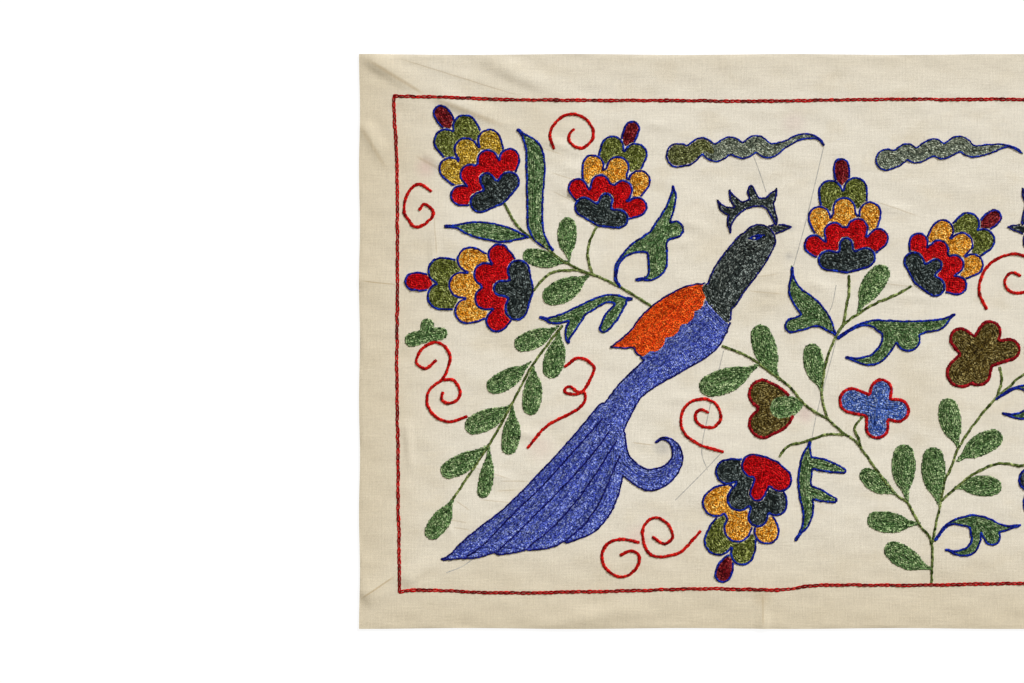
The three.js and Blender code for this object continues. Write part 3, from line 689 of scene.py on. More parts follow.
# Skeins: colours of the thread in shade, in the open and where it shines
SKEINS = {
    "frame_red": ((104, 0, 4), (160, 4, 8), (192, 20, 16)),
    "tendril_red": ((132, 4, 6), (187, 13, 10), (208, 38, 25)),
    "outline_blue": ((6, 12, 86), (14, 28, 134), (26, 58, 170)),
    "feather_navy": ((8, 8, 58), (18, 20, 98), (40, 46, 138)),
    "outline_maroon": ((90, 2, 12), (136, 6, 20), (170, 30, 36)),
    "outline_red": ((130, 4, 8), (182, 10, 14), (208, 40, 34)),
    "bird_blue": ((32, 42, 132), (84, 100, 186), (156, 168, 218)),
    "bottle_dark": ((12, 18, 18), (42, 51, 50), (122, 132, 129)),
    "neck_dark": ((14, 20, 20), (54, 62, 59), (147, 155, 148)),
    "wing_orange": ((178, 44, 6), (230, 78, 17), (240, 118, 42)),
    "blossom_red": ((136, 0, 6), (196, 4, 14), (220, 36, 34)),
    "blossom_gold": ((156, 82, 8), (232, 157, 42), (250, 214, 120)),
    "olive_gold": ((104, 72, 8), (196, 156, 42), (238, 208, 112)),
    "blossom_olive": ((44, 50, 10), (100, 108, 42), (172, 178, 106)),
    "bud_maroon": ((58, 2, 8), (112, 14, 22), (168, 66, 64)),
    "leaf_green": ((34, 60, 26), (96, 128, 75), (176, 195, 142)),
    "lobed_green": ((36, 64, 28), (90, 120, 74), (170, 188, 140)),
    "blossom_brown": ((40, 28, 4), (92, 76, 30), (160, 144, 90)),
    "sky_blue": ((26, 56, 136), (80, 110, 186), (170, 186, 220)),
    "cloud_grey": ((50, 59, 50), (124, 133, 114), (194, 199, 176)),
    "cloud_olive": ((42, 46, 16), (94, 98, 52), (164, 168, 116)),
    "stem_green": ((44, 58, 18), (92, 108, 50), (148, 160, 98)),
    "eye_white": ((190, 186, 176), (226, 222, 212), (244, 242, 236)),
}

# Lines of stitches for each skein with the kind of link they are worked in, and the padding under fills
sewn = {skein: [] for skein in SKEINS}
padded = {skein: [] for skein in SKEINS}


def sew(skein, line, link, both_sides=False):
    """Notes a line of stitches, and its mirror image if the motif is on both sides of the cloth."""
    sewn[skein].append((line, link))
    if both_sides:
        sewn[skein].append((line * (-1, 1), link))


def sew_layers(layers, both_sides=False):
    """Fills and outlines of layers that lie over one another, the lowest first.

    A layer has bands, the skein of its fill and, if it has an outline, that skein, its kind of link and
    the numbers of the layers that it runs on into without a line.
    """
    rows = np.vstack([np.asarray(band, dtype=float) for layer in layers for band in layer["bands"]])
    reach = rows[:, 2].max() + GRID_MARGIN * FIELD_STEP
    xs = np.arange(rows[:, 0].min() - reach, rows[:, 0].max() + reach, FIELD_STEP)
    ys = np.arange(rows[:, 1].min() - reach, rows[:, 1].max() + reach, FIELD_STEP)
    x, y = np.meshgrid(xs, ys)
    fields = []
    for layer in layers:
        least = ROW_PITCH * THINNEST_FILL
        if "outline" in layer:
            least = layer.get("link", OUTLINE_LINK)["width"] * THINNEST_EDGED
        fields.append(np.min([band_field(xs, ys, band, least) for band in layer["bands"]], axis=0))

    def value_at(field, line):
        column = np.clip(np.round((line[:, 0] - xs[0]) / FIELD_STEP).astype(int), 0, len(xs) - 1)
        row = np.clip(np.round((line[:, 1] - ys[0]) / FIELD_STEP).astype(int), 0, len(ys) - 1)
        return field[row, column]

    for number, layer in enumerate(layers):
        outside = np.full(x.shape, FAR_OUTSIDE)
        cover = np.min([outside, *fields[number + 1:]], axis=0)
        joined = np.min([outside, *(fields[other] for other in layer.get("runs_into", ()))], axis=0)
        edge = 0.0
        if "outline" in layer:
            link = layer.get("link", OUTLINE_LINK)
            edge = np.where(joined > -RUN_IN, link["width"] * FILL_INSET, 0.0)
            for line in contour_lines(x, y, fields[number], -link["width"] / 2):
                keep = (value_at(cover, line) > COVER_GAP) & (value_at(joined, line) > -RUN_IN)
                for run in kept_runs(line, keep):
                    sew(layer["outline"], run, link, both_sides)
        visible = np.maximum(fields[number] + edge, -cover)
        for level in np.arange(ROW_PITCH / 2, -visible.min(), ROW_PITCH):
            for line in contour_lines(x, y, visible, -level):
                sew(layer["fill"], line, FILL_LINK, both_sides)
        ground = np.maximum(fields[number], -cover)
        inset = EDGED_INSET if "outline" in layer else PLAIN_INSET
        every = slice(PADDING_CELLS // 2, None, PADDING_CELLS)
        under = ground[every, every] < -inset
        spots = np.stack([x[every, every][under], y[every, every][under]], axis=1)
        padded[layer["fill"]].append(spots)
        if both_sides:
            padded[layer["fill"]].append(spots * (-1, 1))


def placed(rows, base, tip, own_length):
    """Rows moved from a motif's own frame, where X runs to the tip, to their place on the cloth."""
    rows = np.asarray(rows, dtype=float)
    run = np.subtract(tip, base)
    scale = np.hypot(*run) / own_length
    turn = math.atan2(run[1], run[0])
    cos, sin = math.cos(turn), math.sin(turn)
    px = (rows[:, 0] * cos - rows[:, 1] * sin) * scale + base[0]
    py = (rows[:, 0] * sin + rows[:, 1] * cos) * scale + base[1]
    return np.stack([px, py, rows[:, 2] * scale], axis=1)


# Blossoms: a petal from its root to its round end, as x, y and half width in shares of the length from the
# stem to the tip of the bud
STANDING_TIERS = [
    [[(0.66, 0, 0.04), (0.78, 0, 0.058), (0.865, 0, 0.078), (0.925, 0, 0.075)]],
    [
        [(0.5, 0.07, 0.09), (0.6, 0.095, 0.105), (0.705, 0.1, 0.112)],
        [(0.5, -0.07, 0.09), (0.6, -0.095, 0.105), (0.715, -0.1, 0.112)],
        [(0.55, 0, 0.15), (0.57, 0, 0.15)],
    ],
    [
        [(0.34, 0.16, 0.075), (0.42, 0.188, 0.095), (0.492, 0.2, 0.105)],
        [(0.38, 0, 0.09), (0.48, 0, 0.106), (0.55, 0, 0.108)],
        [(0.34, -0.165, 0.075), (0.43, -0.193, 0.096), (0.502, -0.205, 0.106)],
        [(0.35, 0, 0.18), (0.4, 0, 0.155)],
    ],
    [
        [(0.15, 0.13, 0.07), (0.2, 0.19, 0.085), (0.255, 0.255, 0.095)],
        [(0.18, 0.05, 0.09), (0.3, 0.08, 0.095), (0.355, 0.09, 0.095)],
        [(0.18, -0.05, 0.09), (0.3, -0.085, 0.095), (0.375, -0.1, 0.097)],
        [(0.15, -0.13, 0.07), (0.21, -0.19, 0.085), (0.28, -0.26, 0.095)],
        [(0.2, 0, 0.19), (0.21, 0, 0.195)],
    ],
    [
        [(0.09, 0.05, 0.09), (0.115, 0.15, 0.096)],
        [(0.1, 0, 0.112), (0.18, 0, 0.075), (0.245, 0, 0.067)],
        [(0.09, -0.05, 0.09), (0.12, -0.148, 0.094)],
    ],
]
STANDING_COLOURS = ("bud_maroon", "blossom_olive", "blossom_gold", "blossom_red", "bottle_dark")
GREEN_GOLD_COLOURS = ("bud_maroon", "blossom_olive", "olive_gold", "blossom_red", "bottle_dark")
RED_BUD_COLOURS = ("blossom_red", "blossom_olive", "blossom_gold", "blossom_red", "bottle_dark")
HANGING_TIERS = [
    [[(0.8, -0.03, 0.015), (0.86, -0.03, 0.05), (0.91, -0.028, 0.066), (0.955, -0.026, 0.063)]],
    [
        [(0.6, 0, 0.08), (0.7, 0.035, 0.09), (0.76, 0.042, 0.09)],
        [(0.6, -0.14, 0.08), (0.66, -0.155, 0.1), (0.745, -0.15, 0.11)],
        [(0.6, -0.06, 0.13), (0.63, -0.06, 0.13)],
    ],
    [
        [(0.46, 0.06, 0.06), (0.5, 0.11, 0.085), (0.545, 0.14, 0.097)],
        [(0.45, -0.06, 0.08), (0.55, -0.06, 0.1), (0.61, -0.06, 0.104)],
        [(0.37, -0.22, 0.04), (0.44, -0.26, 0.085), (0.5, -0.275, 0.105)],
        [(0.4, -0.06, 0.17), (0.45, -0.07, 0.16)],
    ],
    [
        [(0.26, 0.08, 0.06), (0.3, 0.11, 0.08), (0.34, 0.125, 0.088)],
        [(0.3, 0, 0.07), (0.4, 0.03, 0.075), (0.475, 0.04, 0.077)],
        [(0.28, -0.08, 0.07), (0.36, -0.13, 0.085), (0.41, -0.135, 0.092)],
        [(0.17, -0.15, 0.06), (0.22, -0.23, 0.085), (0.26, -0.285, 0.097)],
        [(0.24, -0.04, 0.17), (0.28, -0.05, 0.16)],
    ],
    [
        [(0.13, 0, 0.085), (0.165, 0.08, 0.092)],
        [(0.13, -0.03, 0.085), (0.24, -0.03, 0.066), (0.32, -0.03, 0.063)],
        [(0.13, -0.06, 0.085), (0.15, -0.135, 0.092)],
    ],
]
HANGING_COLOURS = ("bud_maroon", "blossom_olive", "blossom_gold", "bottle_dark", "blossom_red")


# Where each blossom stands. The spread widens its tiers, and a negative one turns them over.
BLOSSOMS = table(
    "base tip tiers colours spread both_sides",
    ((-345, 120), (-403, 205), STANDING_TIERS, GREEN_GOLD_COLOURS, 1, True),
    ((-263, 101), (-230, 192), STANDING_TIERS, STANDING_COLOURS, 1.09, True),
    ((-319, 44), (-431, 53), STANDING_TIERS, RED_BUD_COLOURS, 0.98, True),
    ((-45, 60), (-51, 160), STANDING_TIERS, STANDING_COLOURS, 1.09, False),
    ((13, 51), (88, 113), STANDING_TIERS, STANDING_COLOURS, 1, False),
    ((-105, -98), (-153, -209), HANGING_TIERS, HANGING_COLOURS, 1, False),
    ((115, -98), (163, -209), HANGING_TIERS, STANDING_COLOURS, -1, False),
)


def sew_blossom(base, tip, tiers, colours, spread, both_sides):
    layers = []
    for petals, colour in zip(tiers, colours):
        bands = [placed(np.array(rows) * (1, spread, 1), base, tip, 1) for rows in petals]
        layers.append({"bands": bands, "fill": colour, "outline": "outline_blue"})
    sew_layers(layers, both_sides)


def sew_blossoms():
    for blossom in BLOSSOMS:
        sew_blossom(**blossom)


# Round-ended leaves: a row along the leaf, aside and half width in shares of its length and half width
ROUND_LEAF = [(0, 0, 0.1), (0.2, 0.02, 0.35), (0.42, 0.03, 0.85), (0.63, 0.02, 1), (0.81, 0, 0.85)]
SIDE_LEAVES = table(
    "base tip half",
    ((-287, 70), (-289, 108), 0.22),
    ((-287, 69), (-329, 76), 0.18),
    ((-270, 58), (-309, 36), 0.23),
    ((-297, 13), (-335, -5), 0.2),
    ((-296, 9), (-304, -32), 0.22),
    ((-321, -18), (-359, -43), 0.19),
    ((-319, -20), (-321, -65), 0.19),
    ((-337, -55), (-378, -77), 0.2),
    ((-337, -56), (-340, -100), 0.18),
    ((-357, -90), (-400, -117), 0.17),
    ((-357, -91), (-363, -140), 0.13),
    ((-388, -136), (-410, -172), 0.2),
)
MIDDLE_LEAVES = table(
    "base tip half",
    ((-105, -33), (-124, 15), 0.2),
    ((-122, -20), (-175, -43), 0.19),
    ((-36, 25), (-12, 67), 0.2),
    ((-67, -44), (-78, -1), 0.2),
    ((7, -138), (3, -89), 0.21),
    ((-2, -133), (-34, -113), 0.22),
    ((17, -158), (-29, -155), 0.2),
    ((28, -198), (-13, -178), 0.21),
    ((35, -143), (28, -91), 0.2),
    ((52, -93), (40, -49), 0.21),
    ((50, -104), (89, -80), 0.21),
    ((48, -127), (89, -126), 0.22),
    ((112, -29), (128, 19), 0.2),
    ((126, -17), (175, -38), 0.2),
)
SMALL_LEAF = [
    [(-412.5, 5, 6), (-424, 1.5, 6.1)],
    [(-411, 8.5, 6), (-410.5, 14.5, 5.6)],
    [(-410, 5.5, 6), (-398.5, 7, 5.3)],
]

# Leaves with a blue edge, a row of x, y and half width for each point of a band
SWORD_LEAF = [
    [(-332, 184.5, 0), (-324, 176, 4), (-318.5, 168, 7.6), (-316.5, 156, 9.2), (-316.5, 140, 8.7),
     (-317, 123, 7.8), (-316.5, 100, 7.4), (-311, 88, 5.2), (-301, 79, 1)],
]
WILLOW_LEAF = [
    [(-395, 100, 0), (-385, 100, 2.3), (-372.5, 98, 6.7), (-359, 96, 8.5), (-345.5, 93.5, 8.1),
     (-332.5, 92, 4.5), (-323, 90.5, 0.9)],
]
HOOKED_LEAF = [
    [(-197, 134.5, 0), (-196.5, 127.5, 3.3), (-200, 115, 4.8), (-205, 104, 6.6), (-211.5, 88.5, 10),
     (-229, 82, 5.6), (-238, 76, 3.1), (-244.5, 68.5, 2.3), (-246.5, 61, 2.1), (-246.5, 53.5, 1.4),
     (-243, 47.5, 0.8)],
    [(-211.5, 88, 9.5), (-210.5, 74.5, 9.5), (-211, 64, 8.2), (-217, 56, 3.9), (-229, 53.5, 0)],
    [(-201, 95.5, 7.8), (-195, 97.5, 8.1)],
]
FORKED_LEAF = [
    [(-232.5, 37, 0.5), (-245, 36.5, 4.5), (-256, 37, 4.4), (-273.5, 28.5, 5.7), (-288, 22, 5.2),
     (-302, 18.5, 3.7), (-312.5, 21, 0)],
    [(-241, 33.5, 4.4), (-250, 22, 6.5), (-257, 11.5, 4.9)],
    [(-278, 23, 5.2), (-285.5, 12, 5.5), (-288.5, 3, 2.6), (-288, -1.5, 0)],
]
POINTED_LEAF = [
    [(-77.5, -87, 0), (-80.5, -98.5, 4.6), (-81.5, -110, 6.6), (-82.5, -122, 6.8), (-81, -136, 6.6),
     (-79.5, -148, 5.4), (-82, -159.5, 3.6), (-90.5, -173, 0)],
    [(-79, -105, 5.6), (-66.5, -107.5, 6.2), (-55, -110.5, 4.6), (-48.5, -112.5, 3)],
    [(-81, -129, 5.2), (-71, -133, 6.2), (-63, -136, 4.5), (-56.5, -138, 3.1)],
]
WINGED_LEAF = [
    [(-93.5, 64.5, 0), (-93, 53.5, 3), (-90, 42, 7), (-78.5, 29.5, 10), (-66.5, 18.5, 7.5),
     (-55, 5.5, 0.9)],
    [(-73, 20.5, 8), (-86.5, 16, 7.4), (-93.5, 14, 7.2)],
]
ARCHED_LEAF = [
    [(31, -173, 0.9), (38.5, -162.5, 1.8), (46.5, -157.5, 2.7), (63, -156.5, 6.5), (75, -159.5, 7.2),
     (89, -162.5, 4.2), (105, -160, 0)],
    [(75, -161, 7), (80.5, -170, 8.2)],
    [(66, -161, 6), (66.5, -172.5, 5), (61.5, -181.5, 4.8), (51, -184, 3.1), (40.5, -181, 0)],
]
CURLED_LEAF = [
    [(0, 0, 0.8), (12, 5, 1.8), (23.5, 7.5, 2.2), (32.5, 6, 4), (45, -1, 8), (58.5, -5, 8.8), (73, -5, 6),
     (87, -5.5, 5), (100, 0, 0)],
    [(58.5, -5, 8.8), (58, -12.5, 10.9)],
    [(45, -3, 8), (40.5, -13, 6.7), (30, -22, 5.9), (18.5, -23, 4.2), (4, -17, 0)],
]
CURLED_LEAF_LENGTH = 100
CURLED_LEAVES = table(
    "base tip",
    ((-54, 2.5), (47.5, 23.5)),
    ((84, -50), (162, -34)),
)


def round_leaf(leaf):
    return placed(np.array(ROUND_LEAF) * (1, 1, leaf["half"]), leaf["base"], leaf["tip"], 1)


def sew_edged_leaf(bands, both_sides=False):
    sew_layers([{"bands": bands, "fill": "lobed_green", "outline": "outline_blue"}], both_sides)


def sew_leaves():
    for leaves, both_sides in ((SIDE_LEAVES, True), (MIDDLE_LEAVES, False)):
        for leaf in leaves:
            sew_layers([{"bands": [round_leaf(leaf)], "fill": "leaf_green"}], both_sides)
    sew_layers([{"bands": SMALL_LEAF, "fill": "leaf_green"}], both_sides=True)
    for bands in (SWORD_LEAF, WILLOW_LEAF, HOOKED_LEAF, FORKED_LEAF):
        sew_edged_leaf(bands, both_sides=True)
    for bands in (POINTED_LEAF, WINGED_LEAF, ARCHED_LEAF):
        sew_edged_leaf(bands)
    for leaf in CURLED_LEAVES:
        ends = leaf["base"], leaf["tip"]
        sew_edged_leaf([placed(rows, *ends, CURLED_LEAF_LENGTH) for rows in CURLED_LEAF])


# The long-tailed bird of the left half, a row of x, y and half width for each point of a band
TAIL = [
    [(-249, -82, 8), (-247, -98.5, 8.7), (-249, -114.5, 9.6), (-254, -131.5, 10.4), (-261, -145.5, 10.9),
     (-269.5, -156, 10.9), (-277, -162, 9.1), (-289, -172, 4)],
    [(-253, -91.5, 8.7), (-259, -110, 9.1), (-271, -132.5, 9.6), (-287, -154.5, 10), (-298, -167, 9.6),
     (-308, -174.5, 6.5), (-322, -180.5, 2)],
    [(-253, -80.5, 7.8), (-268, -103.5, 8.7), (-284, -125.5, 9.1), (-301, -148, 9.1), (-314, -163, 9.1),
     (-327, -174.5, 8), (-349, -183.5, 3)],
    [(-261, -75.5, 8.5), (-280, -104, 9), (-304, -134, 10), (-325, -153, 10.5), (-344, -170, 9.5),
     (-366, -182, 6.5), (-381, -187.5, 2)],
    [(-257, -59.5, 7), (-280, -87, 6.8), (-308, -119, 7.8), (-338, -151, 9.1), (-362, -169, 8.6),
     (-378, -180.5, 7), (-389, -187, 3.4), (-398, -189.5, 1)],
    [(-246, -82, 8.5), (-244.5, -94, 8.3), (-240.5, -105.5, 9), (-227.5, -116.5, 8.9), (-216, -120.5, 10.2),
     (-201.5, -114.5, 8), (-193.5, -103, 5.9), (-194.5, -92.5, 4.3), (-200, -86, 2.8), (-206.5, -84.5, 1.7),
     (-212, -87.5, 1)],
]
FEATHER_LINES = [
    [(-258, -67), (-284, -96), (-310, -125), (-339, -153), (-360, -175), (-379, -189)],
    [(-252, -78), (-272, -104), (-298, -132), (-327, -161), (-350, -183)],
    [(-246, -86), (-259, -107), (-278, -135), (-301, -161), (-323, -179)],
    [(-243, -99), (-252, -120), (-263, -144), (-276, -161), (-290, -173)],
]
BODY = [
    [(-157, 22, 12.2), (-172.5, 5.5, 18.7), (-193.5, -11, 16), (-221.5, -31.5, 12.4), (-235.5, -44.5, 12),
     (-245.5, -60, 13.5), (-255, -76, 15)],
    [(-166, 40, 7), (-179, 23, 12), (-199, 6, 12), (-219, -10, 8)],
]
WING = [
    (-169, 46.5, 5), (-182, 38.5, 11), (-198, 26.5, 14.5), (-212.5, 14.5, 14.8), (-225, 5, 10.5),
    (-238.5, -1, 5.6), (-245, -3, 3.4), (-251.5, -5, 0.8),
]
WING_SCALLOPS = [(-224.5, -6, 7), (-213.5, -1.5, 7.4), (-200.5, 11, 7.4), (-187.5, 22, 7), (-178, 32.5, 6)]
SCALLOP_RUN = 2
NECK = [
    [(-122, 87.5, 15), (-133, 74, 17.8), (-148, 53.5, 17.4), (-153.5, 40.5, 15)],
    [(-165.5, 45.5, 6), (-159.5, 36, 7), (-153, 28.5, 7), (-149.5, 20.5, 3.9)],
]
BEAK = [(-113, 96.5, 5), (-106, 98, 4.5), (-99.5, 99, 3), (-94.5, 99.5, 0.8)]
EYE = [(-131, 89, 0.4), (-125, 90.5, 2.4), (-118, 92.5, 0.4)]
EYE_SPARK = [(-127.5, 89.5), (-125.5, 90)]
CREST = [
    [(-147, 94.5, 0.5), (-147.5, 104, 3), (-143, 112, 4.3), (-134.5, 118.5, 4.3), (-123, 121, 4.3),
     (-114.5, 119.5, 4.8), (-110.5, 112, 3.4), (-108, 105.5, 2.5), (-107, 101.5, 1.3)],
    [(-145.5, 112.5, 4.6), (-152, 114.5, 3.7), (-155.5, 118, 2.5), (-158.5, 122.5, 0)],
    [(-138, 117.5, 4.6), (-143, 122, 4), (-146, 126.5, 2.6), (-148, 131.5, 0)],
    [(-125, 121.5, 4.8), (-128.5, 129, 4.2), (-129, 134, 2.9)],
    [(-114, 119.5, 4.8), (-111, 125.5, 4.3), (-108.5, 129, 2.7), (-107, 132.5, 0)],
]


def sew_birds():
    edge = {"outline": "feather_navy", "link": FEATHER_LINK}
    scallops = [[(x + SCALLOP_RUN, y + SCALLOP_RUN, half), (x, y, half)] for x, y, half in WING_SCALLOPS]
    body, wing = 0, 1
    sew_layers([
        {"bands": [*BODY, *TAIL], "fill": "bird_blue", **edge},
        {"bands": [WING, *scallops], "fill": "wing_orange", "runs_into": (body,), **edge},
        {"bands": [BEAK], "fill": "neck_dark", **edge},
        {"bands": NECK, "fill": "neck_dark", "runs_into": (body, wing), **edge},
        {"bands": CREST, "fill": "neck_dark", **edge},
        {"bands": [EYE], "fill": "outline_blue"},
    ], both_sides=True)
    for line in FEATHER_LINES:
        sew("feather_navy", smooth_line(line), FEATHER_LINE_LINK, both_sides=True)
    sew("eye_white", np.array(EYE_SPARK, dtype=float), FEATHER_LINE_LINK, both_sides=True)


# Single blossoms of the middle plant
HEART = [
    [(-119, -45.5, 13.5), (-105.5, -50, 10.4), (-90, -54.5, 1.7)],
    [(-118.5, -71.5, 13.7), (-104, -65.5, 11.3), (-90, -56, 1.7)],
    [(-115, -58.5, 10), (-102, -57, 10)],
]
HEART_LEAF = [(-84, -54.5, 0.9), (-93.5, -56, 7.8), (-103, -57.5, 9.6)]
FOUR_LOBES = [
    [(-19.5, -58, 10), (-41.5, -51.5, 12.2)],
    [(-19.5, -58, 10), (-16, -42.5, 10.8)],
    [(-19.5, -58, 10), (-1.5, -60, 11)],
    [(-19.5, -58, 10), (-19.5, -74.5, 11.2)],
]
FIVE_LOBES = [
    [(69, -12.5, 13), (53, 2.5, 10.4)],
    [(69, -12.5, 13), (78.5, 8, 11)],
    [(69, -12.5, 13), (95.5, -7, 10.4)],
    [(69, -14, 14), (54, -27, 14.2)],
    [(69, -14, 14), (69, -28.5, 11.2)],
]


def sew_single_blossoms():
    brown = {"fill": "blossom_brown", "outline": "outline_maroon", "link": BROAD_LINK}
    sew_layers([{"bands": HEART, **brown}, {"bands": [HEART_LEAF], "fill": "leaf_green"}])
    sew_layers([{"bands": FOUR_LOBES, "fill": "sky_blue", "outline": "outline_red", "link": BROAD_LINK}])
    sew_layers([{"bands": FIVE_LOBES, **brown}])


# Scrolling clouds: a winding band from its round head to the tip of its tail
LEFT_CLOUD = [
    (-192.5, 162, 11.2), (-183, 162.5, 9), (-171.5, 170.5, 7.5), (-160.5, 163.5, 8), (-147.5, 170.5, 8.3),
    (-136, 165.5, 7.3), (-125, 172, 8.1), (-113.5, 166, 7.2), (-99.5, 171.5, 3.7), (-87.5, 177.5, 3.4),
    (-77, 178.5, 2.6), (-69, 175.5, 1.3), (-65.5, 170.5, 0),
]
LEFT_CLOUD_HEAD = [(-192.5, 162, 8.8), (-183, 162.5, 6.6), (-171.5, 170.5, 5.2), (-163, 165, 2)]
RIGHT_CLOUD = [
    (-11.5, 158, 10), (-2, 159.5, 7.8), (6.5, 165.5, 7.4), (15, 161.5, 7.3), (29, 169, 8.1), (38, 165, 7.1),
    (52.5, 172, 7.6), (63, 165.5, 6.1), (78.5, 167.5, 4.6), (91, 170, 2.2), (99.5, 168.5, 1),
    (106.5, 164, 0),
]


def sew_clouds():
    edge = {"outline": "outline_blue", "link": FEATHER_LINK}
    sew_layers([
        {"bands": [LEFT_CLOUD], "fill": "cloud_grey", **edge},
        {"bands": [LEFT_CLOUD_HEAD], "fill": "cloud_olive"},
    ])
    sew_layers([{"bands": [RIGHT_CLOUD], "fill": "cloud_grey", **edge}])


# Lines of a single row: stems, tendrils and the frame
SIDE_STEMS = [
    [(-216, 31), (-243, 47.5), (-260, 55.5), (-279, 63), (-297, 73), (-311, 85.5), (-323, 92.5),
     (-334, 103), (-344, 120.5)],
    [(-267, 58), (-271, 74), (-269, 88.5), (-263, 100)],
    [(-267, 58), (-279, 61.5), (-289, 62), (-302, 60), (-312, 52), (-318, 44)],
    [(-293, 14), (-318, -19), (-337, -54), (-357, -90), (-389, -138)],
]
MIDDLE_STEMS = [
    [(28, -210), (28, -175), (18, -160), (6, -139), (-2, -134), (-19, -113), (-37, -88), (-48, -80),
     (-62, -68), (-81, -56), (-97, -38), (-112, -27), (-124, -18), (-138, -10), (-154, -4)],
    [(-62, -68), (-67, -51), (-67, -35), (-63, -15), (-55, 5), (-49, 15), (-46, 31), (-44, 43), (-44, 58)],
    [(-55, 5), (-49, 14), (-36, 24), (-21, 33), (-2, 41), (10, 48)],
    [(-48, -81), (-64, -81), (-82, -87), (-97, -91), (-104, -100)],
    [(-33, -93), (-36, -84), (-39, -75), (-32, -65)],
    [(29, -175), (31, -162), (35, -144), (40, -120), (46, -107), (51, -93), (64, -73), (83, -50), (97, -38),
     (108, -29), (154, -5)],
    [(36, -139), (48, -128), (62, -117), (77, -109), (89, -106), (107, -108), (116, -104)],
    [(85, -48), (89, -34), (87, -23)],
]
SIDE_TENDRILS = [
    [(-300, 168), (-304, 179), (-298, 192), (-285, 198), (-271, 192), (-266, 179), (-272, 170), (-280, 168),
     (-287, 174), (-287, 180), (-283, 185)],
    [(-407, 130), (-418, 137), (-427, 130), (-431, 117), (-430, 110), (-420, 99), (-407, 107), (-406, 114),
     (-413, 120), (-418, 114)],
    [(-403, -16), (-412, -24), (-420, -18), (-415, -6), (-401, -1), (-391, -12), (-396, -31), (-408, -41),
     (-411, -53), (-404, -65), (-391, -70), (-376, -65)],
    [(-397, -33), (-387, -34), (-382, -46), (-390, -54), (-398, -51), (-397, -44)],
    [(-291, -22), (-279, -14), (-267, -20), (-266, -26), (-276, -44), (-287, -39), (-292, -44), (-282, -46),
     (-274, -44), (-274, -52), (-283, -61), (-306, -73), (-323, -92)],
    [(-166, -62), (-173, -59), (-178, -65), (-173, -73), (-162, -75), (-155, -66), (-160, -54), (-171, -50),
     (-184, -54), (-190, -67), (-187, -80), (-173, -90), (-153, -96)],
    [(-243, -186), (-234, -182), (-226, -187), (-230, -199), (-242, -205), (-254, -199), (-259, -187),
     (-253, -175), (-240, -172), (-226, -175)],
    [(-215, -170), (-204, -176), (-197, -170), (-202, -158), (-213, -153), (-222, -160), (-223, -173),
     (-217, -185), (-204, -187), (-189, -182), (-173, -165)],
]
MIDDLE_TENDRILS = [
    [(105, 57), (97, 60), (91, 52), (97, 43), (110, 43), (120, 52), (121, 64), (112, 73), (97, 76),
     (79, 68), (70, 52), (70, 40), (76, 28)],
]
FRAME_SIDES = [
    [(-440, 213.5), (-400, 212.5), (-317, 210), (-200, 209.5), (-117, 209), (-20, 210.5), (105, 210.5),
     (280, 209.5), (437, 211)],
    [(-440, 213.5), (-439, 190), (-437, 149), (-436.5, 60), (-437, -20), (-436, -120), (-435, -190),
     (-435, -218)],
    [(-435, -218), (-417, -216), (-347, -218.5), (-260, -217.5), (-173, -215), (-104, -216), (-69, -212),
     (18, -212), (105, -210.5), (280, -213), (438, -215)],
    [(438, -215), (436.5, -100), (437.5, 40), (437, 211)],
]
SINGLE_ROWS = table(
    "lines skein link both_sides",
    (SIDE_STEMS, "stem_green", STEM_LINK, True),
    (MIDDLE_STEMS, "stem_green", STEM_LINK, False),
    (SIDE_TENDRILS, "tendril_red", TENDRIL_LINK, True),
    (MIDDLE_TENDRILS, "tendril_red", TENDRIL_LINK, False),
    (FRAME_SIDES, "frame_red", FRAME_LINK, False),
)


def sew_lines():
    for group in SINGLE_ROWS:
        for line in group["lines"]:
            sew(group["skein"], smooth_line(line), group["link"], group["both_sides"])


# One link at each station along it: shares of its length, half width and height, and a tone, which is
# painted shade where the link sinks low and painted highlight where it rises high. Packed and rope links
# have a groove between their legs, and an open link has an eye through which the cloth shows.
LINK_STATIONS = {
    "packed": table(
        "along edge crest top groove tone",
        (-0.1, 0.8, 0.34, 0.45, 0.3, 0.74),
        (1.12, 1.1, 0.58, 1, 0.6, 1.25),
    ),
    "rope": table(
        "along edge crest top groove tone",
        (-0.12, 0.8, 0.3, 0.55, 0.5, 0.72),
        (0.5, 1, 0.5, 1, 0.8, 1.08),
        (1.12, 0.84, 0.36, 0.7, 0.62, 0.92),
    ),
    "open": table(
        "along edge crest top eye tone",
        (-0.08, 0.7, 0.28, 0.55, 0, 0.7),
        (0.3, 1, 0.52, 0.92, 0.04, 1),
        (0.72, 1, 0.56, 1, 0.08, 1.05),
        (1.08, 0.8, 0.36, 0.7, 0, 0.85),
    ),
}
SHORTEST_RUN = 0.35
LINK_SUNK = -0.25
EYE_RISE = 0.15
JITTER = 0.2
WIDTH_SPREAD = 0.08
HEIGHT_SPREAD = 0.14
LINK_TONE_SPREAD = 0.16
LEG_TONE_SPREAD = 0.26
# Painted shade on the sunk edges of a link and in its groove or eye
EDGE_PAINTED_SHADE = 0.8
GROOVE_PAINTED_SHADE = 0.75
# Padding darkened as painted shade between the rows
PADDING_SHADE = 0.85
PADDING_RISE = 0.22


